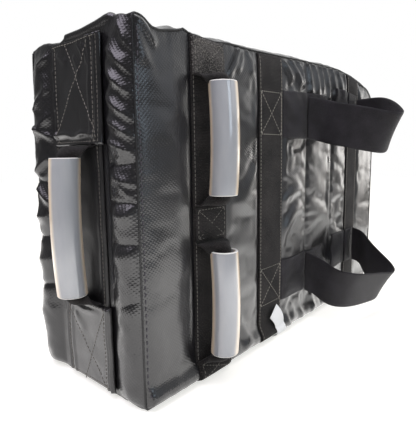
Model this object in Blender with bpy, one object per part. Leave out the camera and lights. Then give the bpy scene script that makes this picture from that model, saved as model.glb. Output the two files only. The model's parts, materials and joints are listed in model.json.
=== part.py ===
"""Strike shield: a padded training shield with three hose grips and two arm loops.

Metres, +Z up. The shield stands on its long side, as it is put down. X runs along its length from
the end with a grip, Y through its thickness, and Z across its width. The user's face, with the
grips and loops, looks to -Y and the struck face to +Y. The origin is the middle of the side that
it stands on. Along the shield, places are given as a distance from the seam at the gripped end.
"""

import math

import bmesh
import bpy
import numpy as np

# The padded body
LENGTH = 0.585
WIDTH = 0.370
THICKNESS = 0.178
NEAR_CORNER_RADIUS = 0.006
FAR_CORNER_RADIUS = 0.055
BACK_CROWN = 0.004
STRIKE_CROWN = 0.012
NEAR_END_BULGE = 0.012
END_DRAW = 0.010
END_LEVEL_MARGIN = 0.003
FAR_END_BULGE = 0.007
UPPER_SIDE_BULGE = 0.010
BAND_DRAW = 0.002
CROWN_POWER = 4.0
SIDE_FLAT = 0.022

# How finely the body's grid follows it
NEAR_CORNER_STEPS = 3
FAR_CORNER_STEPS = 4
MIDDLE_ROWS = 6
COLUMN_PITCH = 0.045
SAME_LINE = 0.0001
SHARP_ANGLE = math.radians(35)

# Sheet materials and the clearances between pieces
VINYL = 0.0015
WEBBING = 0.0016
GAP = 0.0003
FOAM_CLEARANCE = 0.0008
BACK_FOAM_DEPTH = 0.035
STRIKE_FOAM_DEPTH = 0.050

# Webbing bands across the user's face
GRIP_BAND_PLACE = 0.097
GRIP_BAND_WIDTH = 0.052
LOOP_BAND_NEAR_PLACE = 0.217
LOOP_BAND_NEAR_WIDTH = 0.054
LOOP_BAND_FAR_INSET = 0.110
LOOP_BAND_FAR_WIDTH = 0.044
BAND_END_INSET = 0.0015

# Sewn layers over the grip band
ANCHOR_WIDTH = 0.050
UPPER_ANCHOR_LENGTH = 0.0385
MIDDLE_ANCHOR_HEIGHT = 0.1765
MIDDLE_ANCHOR_LENGTH = 0.039
LOWER_ANCHOR_LENGTH = 0.0225

# Reinforcement on the gripped end
END_STRIP_WIDTH = 0.084
END_PATCH_WIDTH = 0.084
END_PATCH_SHIFT = -0.005
UPPER_PATCH_LENGTH = 0.104
LOWER_PATCH_LENGTH = 0.092

# Grips of clear hose over folded webbing: each hose fills what its two legs leave between anchors
HOSE_RADIUS = 0.015
HOSE_WALL = 0.0028
FINGER_GAP = 0.0056
GRIP_SHIFT = -0.003
END_GRIP_SHIFT = -0.010
LOWER_LEG_RUN = 0.0115
UPPER_LEG_RUN = 0.008
END_LEG_RUN = 0.0117
BACK_HOSE_BOW = 0.003
END_HOSE_BOW = 0.003
CORE_WIDTH = 0.016
CORE_DEPTH = 0.005
FLARE_WIDTH = 0.026
FLARE_DEPTH = 0.007
FLARE_LENGTH = 0.0022
FLARE_STEP = 0.00006
LEG_WIDTH = 0.044
LEG_END_DEPTH = 0.0028
LEG_STEPS = 5
HOSE_SIDES = 16
HOSE_RINGS = 8

# Arm loops of webbing, each from a root beside the near band to a root on the far band
LOOP_WIDTH = 0.058
LOOP_WEBBING = 0.0018
LOOP_ROOT_LENGTH = 0.064
FAR_ROOT_OVERLAP = 0.031
TUCK_SPACING = 0.035
UPPER_LOOP_DROP = 0.070
LOWER_LOOP_HEIGHT = 0.076
FAR_ROOT_RISE = 0.012
UPPER_LOOP_REACH = 0.106
UPPER_LOOP_SAG = 0.027
LOWER_LOOP_REACH = 0.084
LOWER_LOOP_SAG = 0.037

# Stations of a loop: its share of the way from root to root, of its reach from the seam plane and
# of its sag below the line between the roots, and the lean of its width along and out
UPPER_LOOP_ROUTE = (
    ((0.080, 0.245, 0.222), (0.02, 0.22)),
    ((0.085, 0.377, 0.370), (0.06, 0.25)),
    ((0.114, 0.623, 0.593), (0.10, 0.32)),
    ((0.182, 0.868, 0.852), (0.00, 0.42)),
    ((0.267, 1.000, 1.000), (-0.05, 0.45)),
    ((0.386, 1.000, 0.963), (-0.08, 0.42)),
    ((0.591, 0.868, 0.630), (-0.12, 0.30)),
    ((0.795, 0.679, 0.259), (-0.15, 0.14)),
    ((0.920, 0.472, 0.037), (-0.12, 0.06)),
    ((0.989, 0.208, 0.000), (-0.05, 0.00)),
)
LOWER_LOOP_ROUTE = (
    ((0.028, 0.238, 0.162), (-0.05, 0.22)),
    ((0.040, 0.524, 0.514), (-0.05, 0.28)),
    ((0.114, 0.714, 0.676), (-0.06, 0.33)),
    ((0.250, 0.833, 0.811), (-0.07, 0.38)),
    ((0.443, 0.952, 0.946), (-0.10, 0.48)),
    ((0.580, 1.000, 1.000), (-0.15, 0.56)),
    ((0.659, 0.929, 0.919), (-0.18, 0.52)),
    ((0.761, 0.667, 0.568), (-0.20, 0.38)),
    ((0.886, 0.405, 0.243), (-0.15, 0.20)),
    ((0.977, 0.214, 0.054), (-0.06, 0.08)),
)

# Care label: a tape sewn into the lower seam. Stations of its middle line, as a distance along the
# shield from its root, a lift off the loop band and a height, all shares of the height of its tip,
# with the tilt of its width
LABEL_PLACE = 0.233
LABEL_WIDTH = 0.022
LABEL_SHEET = 0.0006
LABEL_TIP = 0.0405
LABEL_ROUTE = (
    ((0.000, 0.000, 0.0494), 0),
    ((0.012, 0.074, 0.222), 5),
    ((-0.025, 0.148, 0.432), 17),
    ((-0.123, 0.178, 0.654), 32),
    ((-0.259, 0.163, 0.852), 42),
    ((-0.383, 0.123, 1.000), 45),
)

BACK_PLANE = -THICKNESS / 2
STRIKE_PLANE = THICKNESS / 2
NEAR_END = -LENGTH / 2
FAR_END = LENGTH / 2
SIDE_EDGE = THICKNESS / 2 - VINYL - GAP
LOOP_BAND_FAR_PLACE = LENGTH - LOOP_BAND_FAR_INSET
BAND_HEIGHTS = (BAND_END_INSET, WIDTH - BAND_END_INSET)
MIDDLE_ANCHOR_LOW = MIDDLE_ANCHOR_HEIGHT - MIDDLE_ANCHOR_LENGTH / 2
MIDDLE_ANCHOR_HIGH = MIDDLE_ANCHOR_HEIGHT + MIDDLE_ANCHOR_LENGTH / 2
UPPER_ANCHOR_LOW = BAND_HEIGHTS[1] - UPPER_ANCHOR_LENGTH
LOWER_ANCHOR_HIGH = BAND_HEIGHTS[0] + LOWER_ANCHOR_LENGTH
END_HEIGHTS = (NEAR_CORNER_RADIUS, WIDTH - NEAR_CORNER_RADIUS)
END_PATCH_REACH = END_PATCH_WIDTH / 2 + abs(END_PATCH_SHIFT)
END_LEVEL = max(END_STRIP_WIDTH / 2, END_PATCH_REACH) + END_LEVEL_MARGIN
UPPER_PATCH_LOW = END_HEIGHTS[1] - UPPER_PATCH_LENGTH
LOWER_PATCH_HIGH = END_HEIGHTS[0] + LOWER_PATCH_LENGTH

COLOURS = {
    "vinyl": ((0.022, 0.021, 0.024), 0.38),
    "webbing": ((0.020, 0.019, 0.018), 0.85),
    "loop_webbing": ((0.013, 0.012, 0.012), 0.80),
    "hose": ((0.42, 0.43, 0.45), 0.25),
    "foam": ((0.12, 0.12, 0.13), 0.90),
    "label": ((0.80, 0.80, 0.79), 0.55),
}


# Scene and materials
def clear_scene():
    for thing in list(bpy.data.objects):
        bpy.data.objects.remove(thing, do_unlink=True)


def make_material(node, finish):
    colour, roughness = COLOURS[finish]
    material = bpy.data.materials.new(node)
    material.use_nodes = True
    shader = material.node_tree.nodes["Principled BSDF"]
    shader.inputs["Base Color"].default_value = (*colour, 1.0)
    shader.inputs["Roughness"].default_value = roughness
    shader.inputs["Metallic"].default_value = 0.0
    return material


def add_node(name, points, faces, finish, pivot=(0.0, 0.0, 0.0)):
    """One named object from points and faces, with its origin at its joint's pivot."""
    mesh = bpy.data.meshes.new(name)
    mesh.from_pydata([tuple(p) for p in np.asarray(points) - pivot], [], faces)
    shape = bmesh.new()
    shape.from_mesh(mesh)
    bmesh.ops.recalc_face_normals(shape, faces=shape.faces)
    shape.to_mesh(mesh)
    shape.free()
    mesh.shade_smooth()
    mesh.set_sharp_from_angle(angle=SHARP_ANGLE)
    node = bpy.data.objects.new(name, mesh)
    node.location = pivot
    bpy.context.scene.collection.objects.link(node)
    mesh.materials.append(make_material(name, finish))
    return node


# Solids from computed points
def add_sheet(name, front, back, finish):
    """A closed sheet between two grids of points, split along the same diagonals."""
    rows, columns = front.shape[:2]
    count = rows * columns
    index = np.arange(count).reshape(rows, columns)
    faces = []
    for i in range(rows - 1):
        for j in range(columns - 1):
            a, b = int(index[i, j]), int(index[i, j + 1])
            c, d = int(index[i + 1, j + 1]), int(index[i + 1, j])
            faces += [(a, b, c), (a, c, d)]
            faces += [(a + count, c + count, b + count), (a + count, d + count, c + count)]
    rim = [int(k) for k in index[0, :]] + [int(k) for k in index[1:, -1]]
    rim += [int(k) for k in index[-1, -2::-1]] + [int(k) for k in index[-2:0:-1, 0]]
    for k, start in enumerate(rim):
        after = rim[(k + 1) % len(rim)]
        faces.append((after, start, start + count, after + count))
    points = np.concatenate([front.reshape(-1, 3), back.reshape(-1, 3)])
    return add_node(name, points, faces, finish)


def add_ribbon(
    name, centres, across, widths, depths, finish, pivot=(0.0, 0.0, 0.0), tangent=None
):
    """A strap: a rectangular section carried along centres, its width laid along across."""
    centres = np.asarray(centres, float)
    across = np.asarray(across, float)
    across = across / np.linalg.norm(across, axis=1)[:, None]
    tangent = np.gradient(centres, axis=0) if tangent is None else tangent
    normal = np.cross(tangent, across)
    normal = normal / np.linalg.norm(normal, axis=1)[:, None]
    half_width = np.broadcast_to(widths, len(centres))[:, None] / 2
    half_depth = np.broadcast_to(depths, len(centres))[:, None] / 2
    corners = [(1, 1), (-1, 1), (-1, -1), (1, -1)]
    ring = len(corners)
    section = np.stack(
        [centres + s * half_width * across + t * half_depth * normal for s, t in corners], axis=1
    )
    faces = [tuple(range(ring))[::-1]]
    for i in range(len(centres) - 1):
        for k in range(ring):
            a, b = ring * i + k, ring * i + (k + 1) % ring
            faces += [(a, b, b + ring), (a, b + ring, a + ring)]
    last = ring * (len(centres) - 1)
    faces.append(tuple(range(last, last + ring)))
    return add_node(name, section.reshape(-1, 3), faces, finish, pivot)


def add_hose(name, centres, finish, pivot):
    """A round hose with an open bore, its ends cut square to Z."""
    turn = np.linspace(0, 2 * math.pi, HOSE_SIDES, endpoint=False)
    circle = np.stack([np.cos(turn), np.sin(turn), np.zeros_like(turn)], axis=1)
    outer = centres[:, None, :] + HOSE_RADIUS * circle[None]
    inner = centres[:, None, :] + (HOSE_RADIUS - HOSE_WALL) * circle[None]
    rings, sides = outer.shape[:2]
    count = rings * sides
    faces = []
    for k in range(sides):
        n = (k + 1) % sides
        for i in range(rings - 1):
            a, b, c, d = i * sides + k, i * sides + n, (i + 1) * sides + n, (i + 1) * sides + k
            faces.append((a, b, c, d))
            faces.append((a + count, d + count, c + count, b + count))
        top = (rings - 1) * sides
        faces.append((n, k, k + count, n + count))
        faces.append((top + k, top + n, top + n + count, top + k + count))
    points = np.concatenate([outer.reshape(-1, 3), inner.reshape(-1, 3)])
    return add_node(name, points, faces, finish, pivot)


# The outline of the padded body, seen along Y
def arc_steps(radius, steps):
    """Rise and inset of a quarter-round corner at even angles."""
    angle = np.linspace(0, math.pi / 2, steps + 1)
    return radius * (1 - np.cos(angle)), radius * (1 - np.sin(angle))


NEAR_ARC = arc_steps(NEAR_CORNER_RADIUS, NEAR_CORNER_STEPS)
FAR_ARC = arc_steps(FAR_CORNER_RADIUS, FAR_CORNER_STEPS)


def body_rows():
    """Heights of the grid rows: close together round the corners, even between them."""
    low = np.union1d(np.round(NEAR_ARC[0], 6), np.round(FAR_ARC[0], 6))
    middle = np.linspace(FAR_CORNER_RADIUS, WIDTH - FAR_CORNER_RADIUS, MIDDLE_ROWS + 2)[1:-1]
    return np.concatenate([low, middle, (WIDTH - low)[::-1]])


def corner_inset(height, arc):
    """How far the outline stands in from the end at a height, round either corner."""
    from_side = np.minimum(height, WIDTH - height)
    return np.interp(from_side, arc[0], arc[1])


def end_shape(height, radius):
    """Bulge of an end across the width: none at the corners, full in the middle."""
    along = np.clip(np.abs(2 * height - WIDTH) / (WIDTH - 2 * radius), 0, 1)
    return 1 - along**CROWN_POWER


def depth_shape(y, flat):
    """Bulge of a side through the thickness: level over the flat, drawn in to the seams."""
    beyond = np.clip((np.abs(y) - flat) / (SIDE_EDGE - flat), 0, 1)
    return 1 - beyond**2


BANDS = (
    (GRIP_BAND_PLACE, GRIP_BAND_WIDTH),
    (LOOP_BAND_NEAR_PLACE, LOOP_BAND_NEAR_WIDTH),
    (LOOP_BAND_FAR_PLACE, LOOP_BAND_FAR_WIDTH),
)


def body_columns():
    """Places of the grid columns along the shield, with one at each edge of each band."""
    edges = [0.0]
    for place, width in BANDS:
        edges += [place - width / 2, place + width / 2]
    edges.append(LENGTH)
    columns = [0.0]
    for k in range(len(edges) - 1):
        on_band = k % 2 == 1
        steps = 1 if on_band else max(2, round((edges[k + 1] - edges[k]) / COLUMN_PITCH))
        columns += list(np.linspace(edges[k], edges[k + 1], steps + 1)[1:])
    return np.array(columns)


def length_shape(place):
    return 1 - np.abs(2 * place / LENGTH - 1) ** CROWN_POWER


def width_shape(height):
    return 1 - np.abs(2 * height / WIDTH - 1) ** CROWN_POWER


def back_profile(columns):
    """Stand-off of the user's face along its length, drawn in level under each band."""
    offset = BACK_CROWN * length_shape(columns)
    for place, width in BANDS:
        on_band = np.abs(columns - place) <= width / 2 + SAME_LINE
        offset = np.where(on_band, BACK_CROWN * length_shape(place) - BAND_DRAW, offset)
    return offset


COLUMNS = body_columns()
ROWS = body_rows()
BACK_OFFSETS = width_shape(ROWS)[:, None] * back_profile(COLUMNS)[None, :]


def sample(columns, rows, offsets, column, row):
    """Height of a grid surface at a point, on the triangle that the sheet has there."""
    j = int(np.clip(np.searchsorted(columns, column, side="right") - 1, 0, len(columns) - 2))
    i = int(np.clip(np.searchsorted(rows, row, side="right") - 1, 0, len(rows) - 2))
    u = (column - columns[j]) / (columns[j + 1] - columns[j])
    v = (row - rows[i]) / (rows[i + 1] - rows[i])
    low, right = offsets[i, j], offsets[i, j + 1]
    up, far = offsets[i + 1, j], offsets[i + 1, j + 1]
    if u >= v:
        return low + u * (right - low) + v * (far - right)
    return low + v * (up - low) + u * (far - up)


def stops(low, high, lines):
    """The ends of a patch and the grid lines between them."""
    inside = [k for k in lines if low + SAME_LINE < k < high - SAME_LINE]
    return np.array([low, *inside, high])


def back_offset(place, height):
    return sample(COLUMNS, ROWS, BACK_OFFSETS, place, height)


def back_points(columns, rows, standoff):
    """Points over the user's face at a stand-off from the surface of its panel."""
    grid = np.empty((len(rows), len(columns), 3))
    for i, row in enumerate(rows):
        for j, column in enumerate(columns):
            offset = back_offset(column, row) + standoff
            grid[i, j] = (NEAR_END + column, BACK_PLANE - offset, row)
    return grid


def add_back_layer(name, places, heights, under, depth, finish):
    """A sheet sewn over the user's face, on what lies under it."""
    columns = stops(*places, COLUMNS)
    rows = stops(*heights, ROWS)
    front = back_points(columns, rows, under + GAP + depth)
    back = back_points(columns, rows, under + GAP)
    return add_sheet(name, front, back, finish)


# Panels of the cover
def outline_grid(columns, rows, inset, y, end_bulge):
    """Points of a face within the rounded outline, moved in by inset all round."""
    heights = inset + rows * (WIDTH - 2 * inset) / WIDTH
    near = NEAR_END + inset + corner_inset(rows, NEAR_ARC)
    far = FAR_END - inset - corner_inset(rows, FAR_ARC)
    grid = np.empty((len(rows), len(columns), 3))
    x = NEAR_END + columns[None, :] * np.ones((len(rows), 1))
    x[:, 0] = near - end_bulge * end_shape(rows, NEAR_CORNER_RADIUS)
    last_fixed = LOOP_BAND_FAR_PLACE + LOOP_BAND_FAR_WIDTH / 2
    tail = columns > last_fixed + SAME_LINE
    share = (columns[tail] - last_fixed) / (LENGTH - last_fixed)
    x[:, tail] = NEAR_END + last_fixed + (far[:, None] - NEAR_END - last_fixed) * share[None, :]
    grid[..., 0] = x
    grid[..., 1] = y
    grid[..., 2] = heights[:, None]
    return grid


def strike_offsets():
    return STRIKE_CROWN * width_shape(ROWS)[:, None] * length_shape(COLUMNS)[None, :]


def add_face_panels():
    back = outline_grid(COLUMNS, ROWS, 0.0, BACK_PLANE - BACK_OFFSETS, 0.0)
    add_sheet("back_panel", back, back + (0, VINYL, 0), "vinyl")
    strike = outline_grid(COLUMNS, ROWS, 0.0, STRIKE_PLANE + strike_offsets(), 0.0)
    add_sheet("strike_panel", strike, strike - (0, VINYL, 0), "vinyl")


def near_bulge(y):
    """Bulge of the gripped end through its thickness: none at the seams, full between them and
    the middle, which the strip draws in level."""
    places = (END_LEVEL, (END_LEVEL + SIDE_EDGE) / 2, SIDE_EDGE)
    return np.interp(np.abs(y), places, (NEAR_END_BULGE - END_DRAW, NEAR_END_BULGE, 0.0))


def side_stations(flat):
    """Places of the grid columns through the thickness, from the user's side."""
    half = np.array([flat, (flat + SIDE_EDGE) / 2, SIDE_EDGE])
    return np.concatenate([-half[::-1], half])


def add_side(name, path, normals, share, y, bulge):
    """A side panel: the outline's path spread through the thickness and bulged outwards.

    share is how much of the bulge each point of the path has, bulge its size at each depth y.
    """
    shape = share[:, None] * bulge[None, :]
    front = np.empty((len(path), len(y), 3))
    front[..., 0] = path[:, 0, None] + normals[:, 0, None] * shape
    front[..., 1] = y[None, :]
    front[..., 2] = path[:, 1, None] + normals[:, 1, None] * shape
    back = front.copy()
    back[..., 0] -= VINYL * normals[:, 0, None]
    back[..., 2] -= VINYL * normals[:, 1, None]
    add_sheet(name, front, back, "vinyl")


def end_path(end, radius, steps, facing):
    """Path round an end of the body: corner, straight and corner, with outward normals."""
    angle = np.linspace(0, math.pi / 2, steps + 1)
    centre = end - facing * radius
    low = np.stack([centre + facing * radius * np.sin(angle), radius - radius * np.cos(angle)], 1)
    low_normal = np.stack([facing * np.sin(angle), -np.cos(angle)], 1)
    heights = stops(radius, WIDTH - radius, ROWS)[1:-1]
    straight = np.array([(end, h) for h in heights])
    straight_normal = np.tile((facing, 0.0), (len(heights), 1))
    high = low[::-1] * (1, -1) + (0, WIDTH)
    high_normal = low_normal[::-1] * (1, -1)
    path = np.concatenate([low, straight, high])
    return path, np.concatenate([low_normal, straight_normal, high_normal])


def add_ends():
    path, normals = end_path(NEAR_END, NEAR_CORNER_RADIUS, NEAR_CORNER_STEPS, -1)
    share = end_shape(path[:, 1], NEAR_CORNER_RADIUS)
    y = side_stations(END_LEVEL)
    add_side("near_end_panel", path, normals, share, y, near_bulge(y))
    path, normals = end_path(FAR_END, FAR_CORNER_RADIUS, FAR_CORNER_STEPS, 1)
    share = end_shape(path[:, 1], FAR_CORNER_RADIUS)
    y = side_stations(SIDE_FLAT)
    add_side("far_end_panel", path, normals, share, y, FAR_END_BULGE * depth_shape(y, SIDE_FLAT))


def add_long_sides():
    start = NEAR_END + NEAR_CORNER_RADIUS + GAP
    stop = FAR_END - FAR_CORNER_RADIUS - GAP
    x = stops(start, stop, NEAR_END + COLUMNS)
    along = np.abs(2 * (x - start) / (stop - start) - 1)
    upper = np.stack([x, np.full_like(x, WIDTH)], 1)
    share = 1 - along**CROWN_POWER
    y = side_stations(SIDE_FLAT)
    bulge = UPPER_SIDE_BULGE * depth_shape(y, SIDE_FLAT)
    add_side("upper_side_panel", upper, np.tile((0.0, 1.0), (len(x), 1)), share, y, bulge)
    ends = np.array([(start, 0.0), (stop, 0.0)])
    add_side("lower_side_panel", ends, np.tile((0.0, -1.0), (2, 1)), np.zeros(2), y, bulge)


# Foam slabs inside the cover
def add_foam(name, back_y, front_y):
    """A slab between two faces, each a depth or a grid of depths, clear of the cover.

    At the gripped end it fills the least bulge that the cover has along the slab's thickness.
    """
    inset = VINYL + FOAM_CLEARANCE
    low, high = float(np.mean(back_y)), float(np.mean(front_y))
    bulge = float(min(near_bulge(np.array([low, high, min(max(0.0, low), high)]))))
    back = outline_grid(COLUMNS, ROWS, inset, back_y, bulge)
    front = outline_grid(COLUMNS, ROWS, inset, front_y, bulge)
    add_sheet(name, back, front, "foam")


def add_foams():
    clear = VINYL + FOAM_CLEARANCE
    back_joint = BACK_PLANE + BACK_FOAM_DEPTH
    strike_joint = STRIKE_PLANE - STRIKE_FOAM_DEPTH
    add_foam("back_foam", BACK_PLANE - BACK_OFFSETS + clear, back_joint)
    add_foam("core_foam", back_joint + GAP, strike_joint - GAP)
    add_foam("strike_foam", strike_joint, STRIKE_PLANE + strike_offsets() - clear)


# Webbing bands and sewn layers
def band_edges(place, width):
    return place - width / 2, place + width / 2


def add_bands():
    names = ("grip_band", "loop_band_near", "loop_band_far")
    for name, (place, width) in zip(names, BANDS):
        add_back_layer(name, band_edges(place, width), BAND_HEIGHTS, 0.0, WEBBING, "webbing")
    over_band = GAP + WEBBING
    anchor = band_edges(GRIP_BAND_PLACE, ANCHOR_WIDTH)
    layers = (
        ("grip_anchor_upper", UPPER_ANCHOR_LOW, BAND_HEIGHTS[1]),
        ("grip_anchor_middle", MIDDLE_ANCHOR_LOW, MIDDLE_ANCHOR_HIGH),
        ("grip_anchor_lower", BAND_HEIGHTS[0], LOWER_ANCHOR_HIGH),
    )
    for name, low, high in layers:
        add_back_layer(name, anchor, (low, high), over_band, WEBBING, "webbing")


def end_offset(height):
    """Stand-off of the gripped end's middle strip, on the panel's own facets."""
    rows = stops(*END_HEIGHTS, ROWS)
    return np.interp(height, rows, near_bulge(0.0) * end_shape(rows, NEAR_CORNER_RADIUS))


def add_end_layer(name, middle, width, heights, under, depth, finish):
    rows = stops(*heights, ROWS)
    columns = np.array([middle - width / 2, middle + width / 2])
    front = np.empty((len(rows), 2, 3))
    front[..., 0] = NEAR_END - end_offset(rows)[:, None] - under - GAP - depth
    front[..., 1] = columns[None, :]
    front[..., 2] = rows[:, None]
    add_sheet(name, front, front + (depth, 0, 0), finish)


def add_end_layers():
    add_end_layer("end_strip", 0.0, END_STRIP_WIDTH, END_HEIGHTS, 0.0, VINYL, "vinyl")
    over_strip = GAP + VINYL
    upper = (UPPER_PATCH_LOW, END_HEIGHTS[1])
    lower = (END_HEIGHTS[0], LOWER_PATCH_HIGH)
    for name, heights in (("end_patch_upper", upper), ("end_patch_lower", lower)):
        add_end_layer(name, END_PATCH_SHIFT, END_PATCH_WIDTH, heights, over_strip, VINYL, "vinyl")


# Grips
def grip_path(origin, outward, standoff, ends, bow, heights):
    """Points of a grip's line: straight up, bowed outwards between its ends as a parabola."""
    share = (2 * np.asarray(heights) - ends[0] - ends[1]) / (ends[1] - ends[0])
    out = standoff + bow * np.clip(1 - share**2, 0, None)
    points = np.asarray(origin)[None, :] + out[:, None] * np.asarray(outward)[None, :]
    points[:, 2] = heights
    return points


def add_leg(name, origin, outward, surface, standoff, finish, start):
    """A leg of webbing: a quarter ellipse from the anchor's edge out to the grip's end."""
    share = np.linspace(0, 1, LEG_STEPS)
    turn = share * math.pi / 2
    root = surface + GAP + WEBBING / 2
    out = root + (standoff - root) * np.sin(turn)
    centres = np.asarray(origin)[None, :] + out[:, None] * outward[None, :]
    centres[:, 2] = finish + (start - finish) * np.cos(turn)
    slope = (standoff - root) * np.cos(turn)
    fall = (finish - start) * np.sin(turn)
    tangent = slope[:, None] * outward[None, :] + fall[:, None] * np.array([[0.0, 0.0, 1.0]])
    widths = LEG_WIDTH + (FLARE_WIDTH - LEG_WIDTH) * share
    depths = WEBBING + (LEG_END_DEPTH - WEBBING) * share**2
    sides = np.tile(np.cross(outward, (0.0, 0.0, 1.0)), (LEG_STEPS, 1))
    add_ribbon(name, centres, sides, widths, depths, "webbing", tangent=tangent)


def add_grip(name, origin, outward, surface, ends, bow, edges):
    """A hose grip: hose, the folded webbing through it, and a leg to the anchor at each end.

    origin is a point on the face under the grip, outward its normal, surface the stand-off of
    the face there, ends the heights of the hose's ends and edges those of the anchors' edges.
    """
    outward = np.array(outward, float)
    standoff = surface + FINGER_GAP + HOSE_RADIUS
    swing = np.array(origin, float) + surface * outward
    swing[2] = (ends[0] + ends[1]) / 2
    hose_line = swing + (standoff - surface) * outward
    rings = np.linspace(ends[0], ends[1], HOSE_RINGS + 1)
    bowed = grip_path(origin, outward, standoff, ends, bow, rings)
    add_hose(name + "_hose", bowed, "hose", hose_line)
    tip = FLARE_LENGTH + GAP
    neck = GAP - FLARE_STEP
    inner = rings[1:-1]
    low = [ends[0] - tip, ends[0] - GAP, ends[0] - neck]
    high = [ends[1] + neck, ends[1] + GAP, ends[1] + tip]
    heights = np.array([*low, *inner, *high])
    flared = np.array([True, True, False] + [False] * len(inner) + [False, True, True])
    centres = grip_path(origin, outward, standoff, ends, bow, heights)
    widths = np.where(flared, FLARE_WIDTH, CORE_WIDTH)
    depths = np.where(flared, FLARE_DEPTH, CORE_DEPTH)
    sides = np.tile(np.cross(outward, (0.0, 0.0, 1.0)), (len(heights), 1))
    add_ribbon(name + "_core", centres, sides, widths, depths, "webbing", swing)
    for part, end, edge, way in (("lower", ends[0], edges[0], 1), ("upper", ends[1], edges[1], -1)):
        start = edge + way * (GAP + WEBBING / 2)
        finish = end - way * (tip + GAP)
        add_leg(f"{name}_{part}_leg", origin, outward, surface, standoff, finish, start)


def add_grips():
    origin = (NEAR_END + GRIP_BAND_PLACE + GRIP_SHIFT, BACK_PLANE, 0.0)
    for name, edges in (
        ("upper_grip", (MIDDLE_ANCHOR_HIGH, UPPER_ANCHOR_LOW)),
        ("lower_grip", (LOWER_ANCHOR_HIGH, MIDDLE_ANCHOR_LOW)),
    ):
        ends = (edges[0] + LOWER_LEG_RUN, edges[1] - UPPER_LEG_RUN)
        surface = back_offset(GRIP_BAND_PLACE, (ends[0] + ends[1]) / 2) + GAP + WEBBING
        add_grip(name, origin, (0.0, -1.0, 0.0), surface, ends, BACK_HOSE_BOW, edges)
    edges = (LOWER_PATCH_HIGH, UPPER_PATCH_LOW)
    ends = (edges[0] + END_LEG_RUN, edges[1] - END_LEG_RUN)
    surface = float(end_offset((ends[0] + ends[1]) / 2)) + GAP + VINYL
    origin = (NEAR_END, END_GRIP_SHIFT, 0.0)
    add_grip("end_grip", origin, (-1.0, 0.0, 0.0), surface, ends, END_HOSE_BOW, edges)


# Arm loops
def loop_points(route, reach, sag, near, far):
    """Positions and width directions of a loop's stations between its two roots."""
    stations = np.array([station for station, _ in route])
    leans = np.array([lean for _, lean in route])
    share = stations[:, 0]
    centres = near[None, :] + share[:, None] * (far - near)[None, :]
    centres[:, 1] = BACK_PLANE - reach * stations[:, 1]
    centres[:, 2] -= sag * stations[:, 2]
    across = np.stack([leans[:, 0], -leans[:, 1], np.ones(len(leans))], axis=1)
    return centres, across


def loop_line(centres, across, near, far):
    """A loop's whole line from root to root, with its width directions and tangents."""
    upright = np.array([0.0, 0.0, 1.0])
    near_middle = (near + centres[0]) / 2
    far_middle = (far + centres[-1]) / 2
    centres = np.stack([near, near_middle, *centres, far_middle, far])
    near_lean = (upright + across[0]) / 2
    far_lean = (upright + across[-1]) / 2
    across = np.stack([upright, near_lean, *across, far_lean, upright])
    return centres, across, np.gradient(centres, axis=0)


def add_stretch(name, line, first, last, pivot=(0.0, 0.0, 0.0)):
    """The part of a loop's line between two stations, held off its neighbours by the gap."""
    centres, across, tangent = (array[first : last + 1].copy() for array in line)
    ahead = tangent / np.linalg.norm(tangent, axis=1)[:, None]
    centres[0] += ahead[0] * GAP / 2
    centres[-1] -= ahead[-1] * GAP / 2
    add_ribbon(name, centres, across, LOOP_WIDTH, LOOP_WEBBING, "loop_webbing", pivot, tangent)


def highest_offset(place, heights):
    """The face's greatest stand-off between two heights."""
    return max(back_offset(place, height) for height in stops(*heights, ROWS))


def foot_standoff(place, span, under, rise):
    """Stand-off of a leg's foot, so that its lower corner clears the sewn root by the gap."""
    slant = abs(rise[0]) / math.hypot(rise[0], rise[1])
    return highest_offset(place, span) + under + 2 * GAP + (1 + slant / 2) * LOOP_WEBBING


def add_loop(name, route, reach, sag, height):
    """An arm loop: two sewn roots with their tucked ends, two legs and the free part."""
    half = LOOP_WIDTH / 2
    far_height = height + FAR_ROOT_RISE
    near = (height - half, height + half)
    far = (far_height - half, far_height + half)
    near_band = band_edges(LOOP_BAND_NEAR_PLACE, LOOP_BAND_NEAR_WIDTH)[1]
    far_band = band_edges(LOOP_BAND_FAR_PLACE, LOOP_BAND_FAR_WIDTH)[0]
    near_fold = near_band + LOOP_ROOT_LENGTH
    far_fold = far_band + FAR_ROOT_OVERLAP
    tuck = (far_band - near_fold - TUCK_SPACING) / 2
    over_band = GAP + WEBBING
    layers = (
        ("near_root", (near_band + GAP, near_fold), near, 0.0),
        ("near_tuck", (near_fold + GAP, near_fold + tuck), near, 0.0),
        ("far_root", (far_band + GAP, far_fold), far, over_band),
        ("far_tuck", (far_band - tuck, far_band - GAP), far, 0.0),
    )
    for part, places, span, under in layers:
        add_back_layer(f"{name}_{part}", places, span, under, LOOP_WEBBING, "loop_webbing")
    near_foot = np.array([NEAR_END + near_fold - LOOP_WEBBING, BACK_PLANE, height])
    far_foot = np.array([NEAR_END + far_fold - LOOP_WEBBING, BACK_PLANE, far_height])
    pivot = (near_foot + far_foot) / 2
    centres, across = loop_points(route, reach, sag, near_foot, far_foot)
    near_foot[1] -= foot_standoff(near_fold, near, 0.0, centres[0] - near_foot)
    far_foot[1] -= foot_standoff(far_fold, far, over_band, centres[-1] - far_foot)
    line = loop_line(centres, across, near_foot, far_foot)
    last = len(line[0]) - 1
    add_stretch(name + "_near_leg", line, 0, 2)
    add_stretch(name, line, 2, last - 2, pivot)
    add_stretch(name + "_far_leg", line, last - 2, last)


def add_loops():
    high = WIDTH - UPPER_LOOP_DROP
    low = LOWER_LOOP_HEIGHT
    add_loop("upper_loop", UPPER_LOOP_ROUTE, UPPER_LOOP_REACH, UPPER_LOOP_SAG, high)
    add_loop("lower_loop", LOWER_LOOP_ROUTE, LOWER_LOOP_REACH, LOWER_LOOP_SAG, low)


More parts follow.
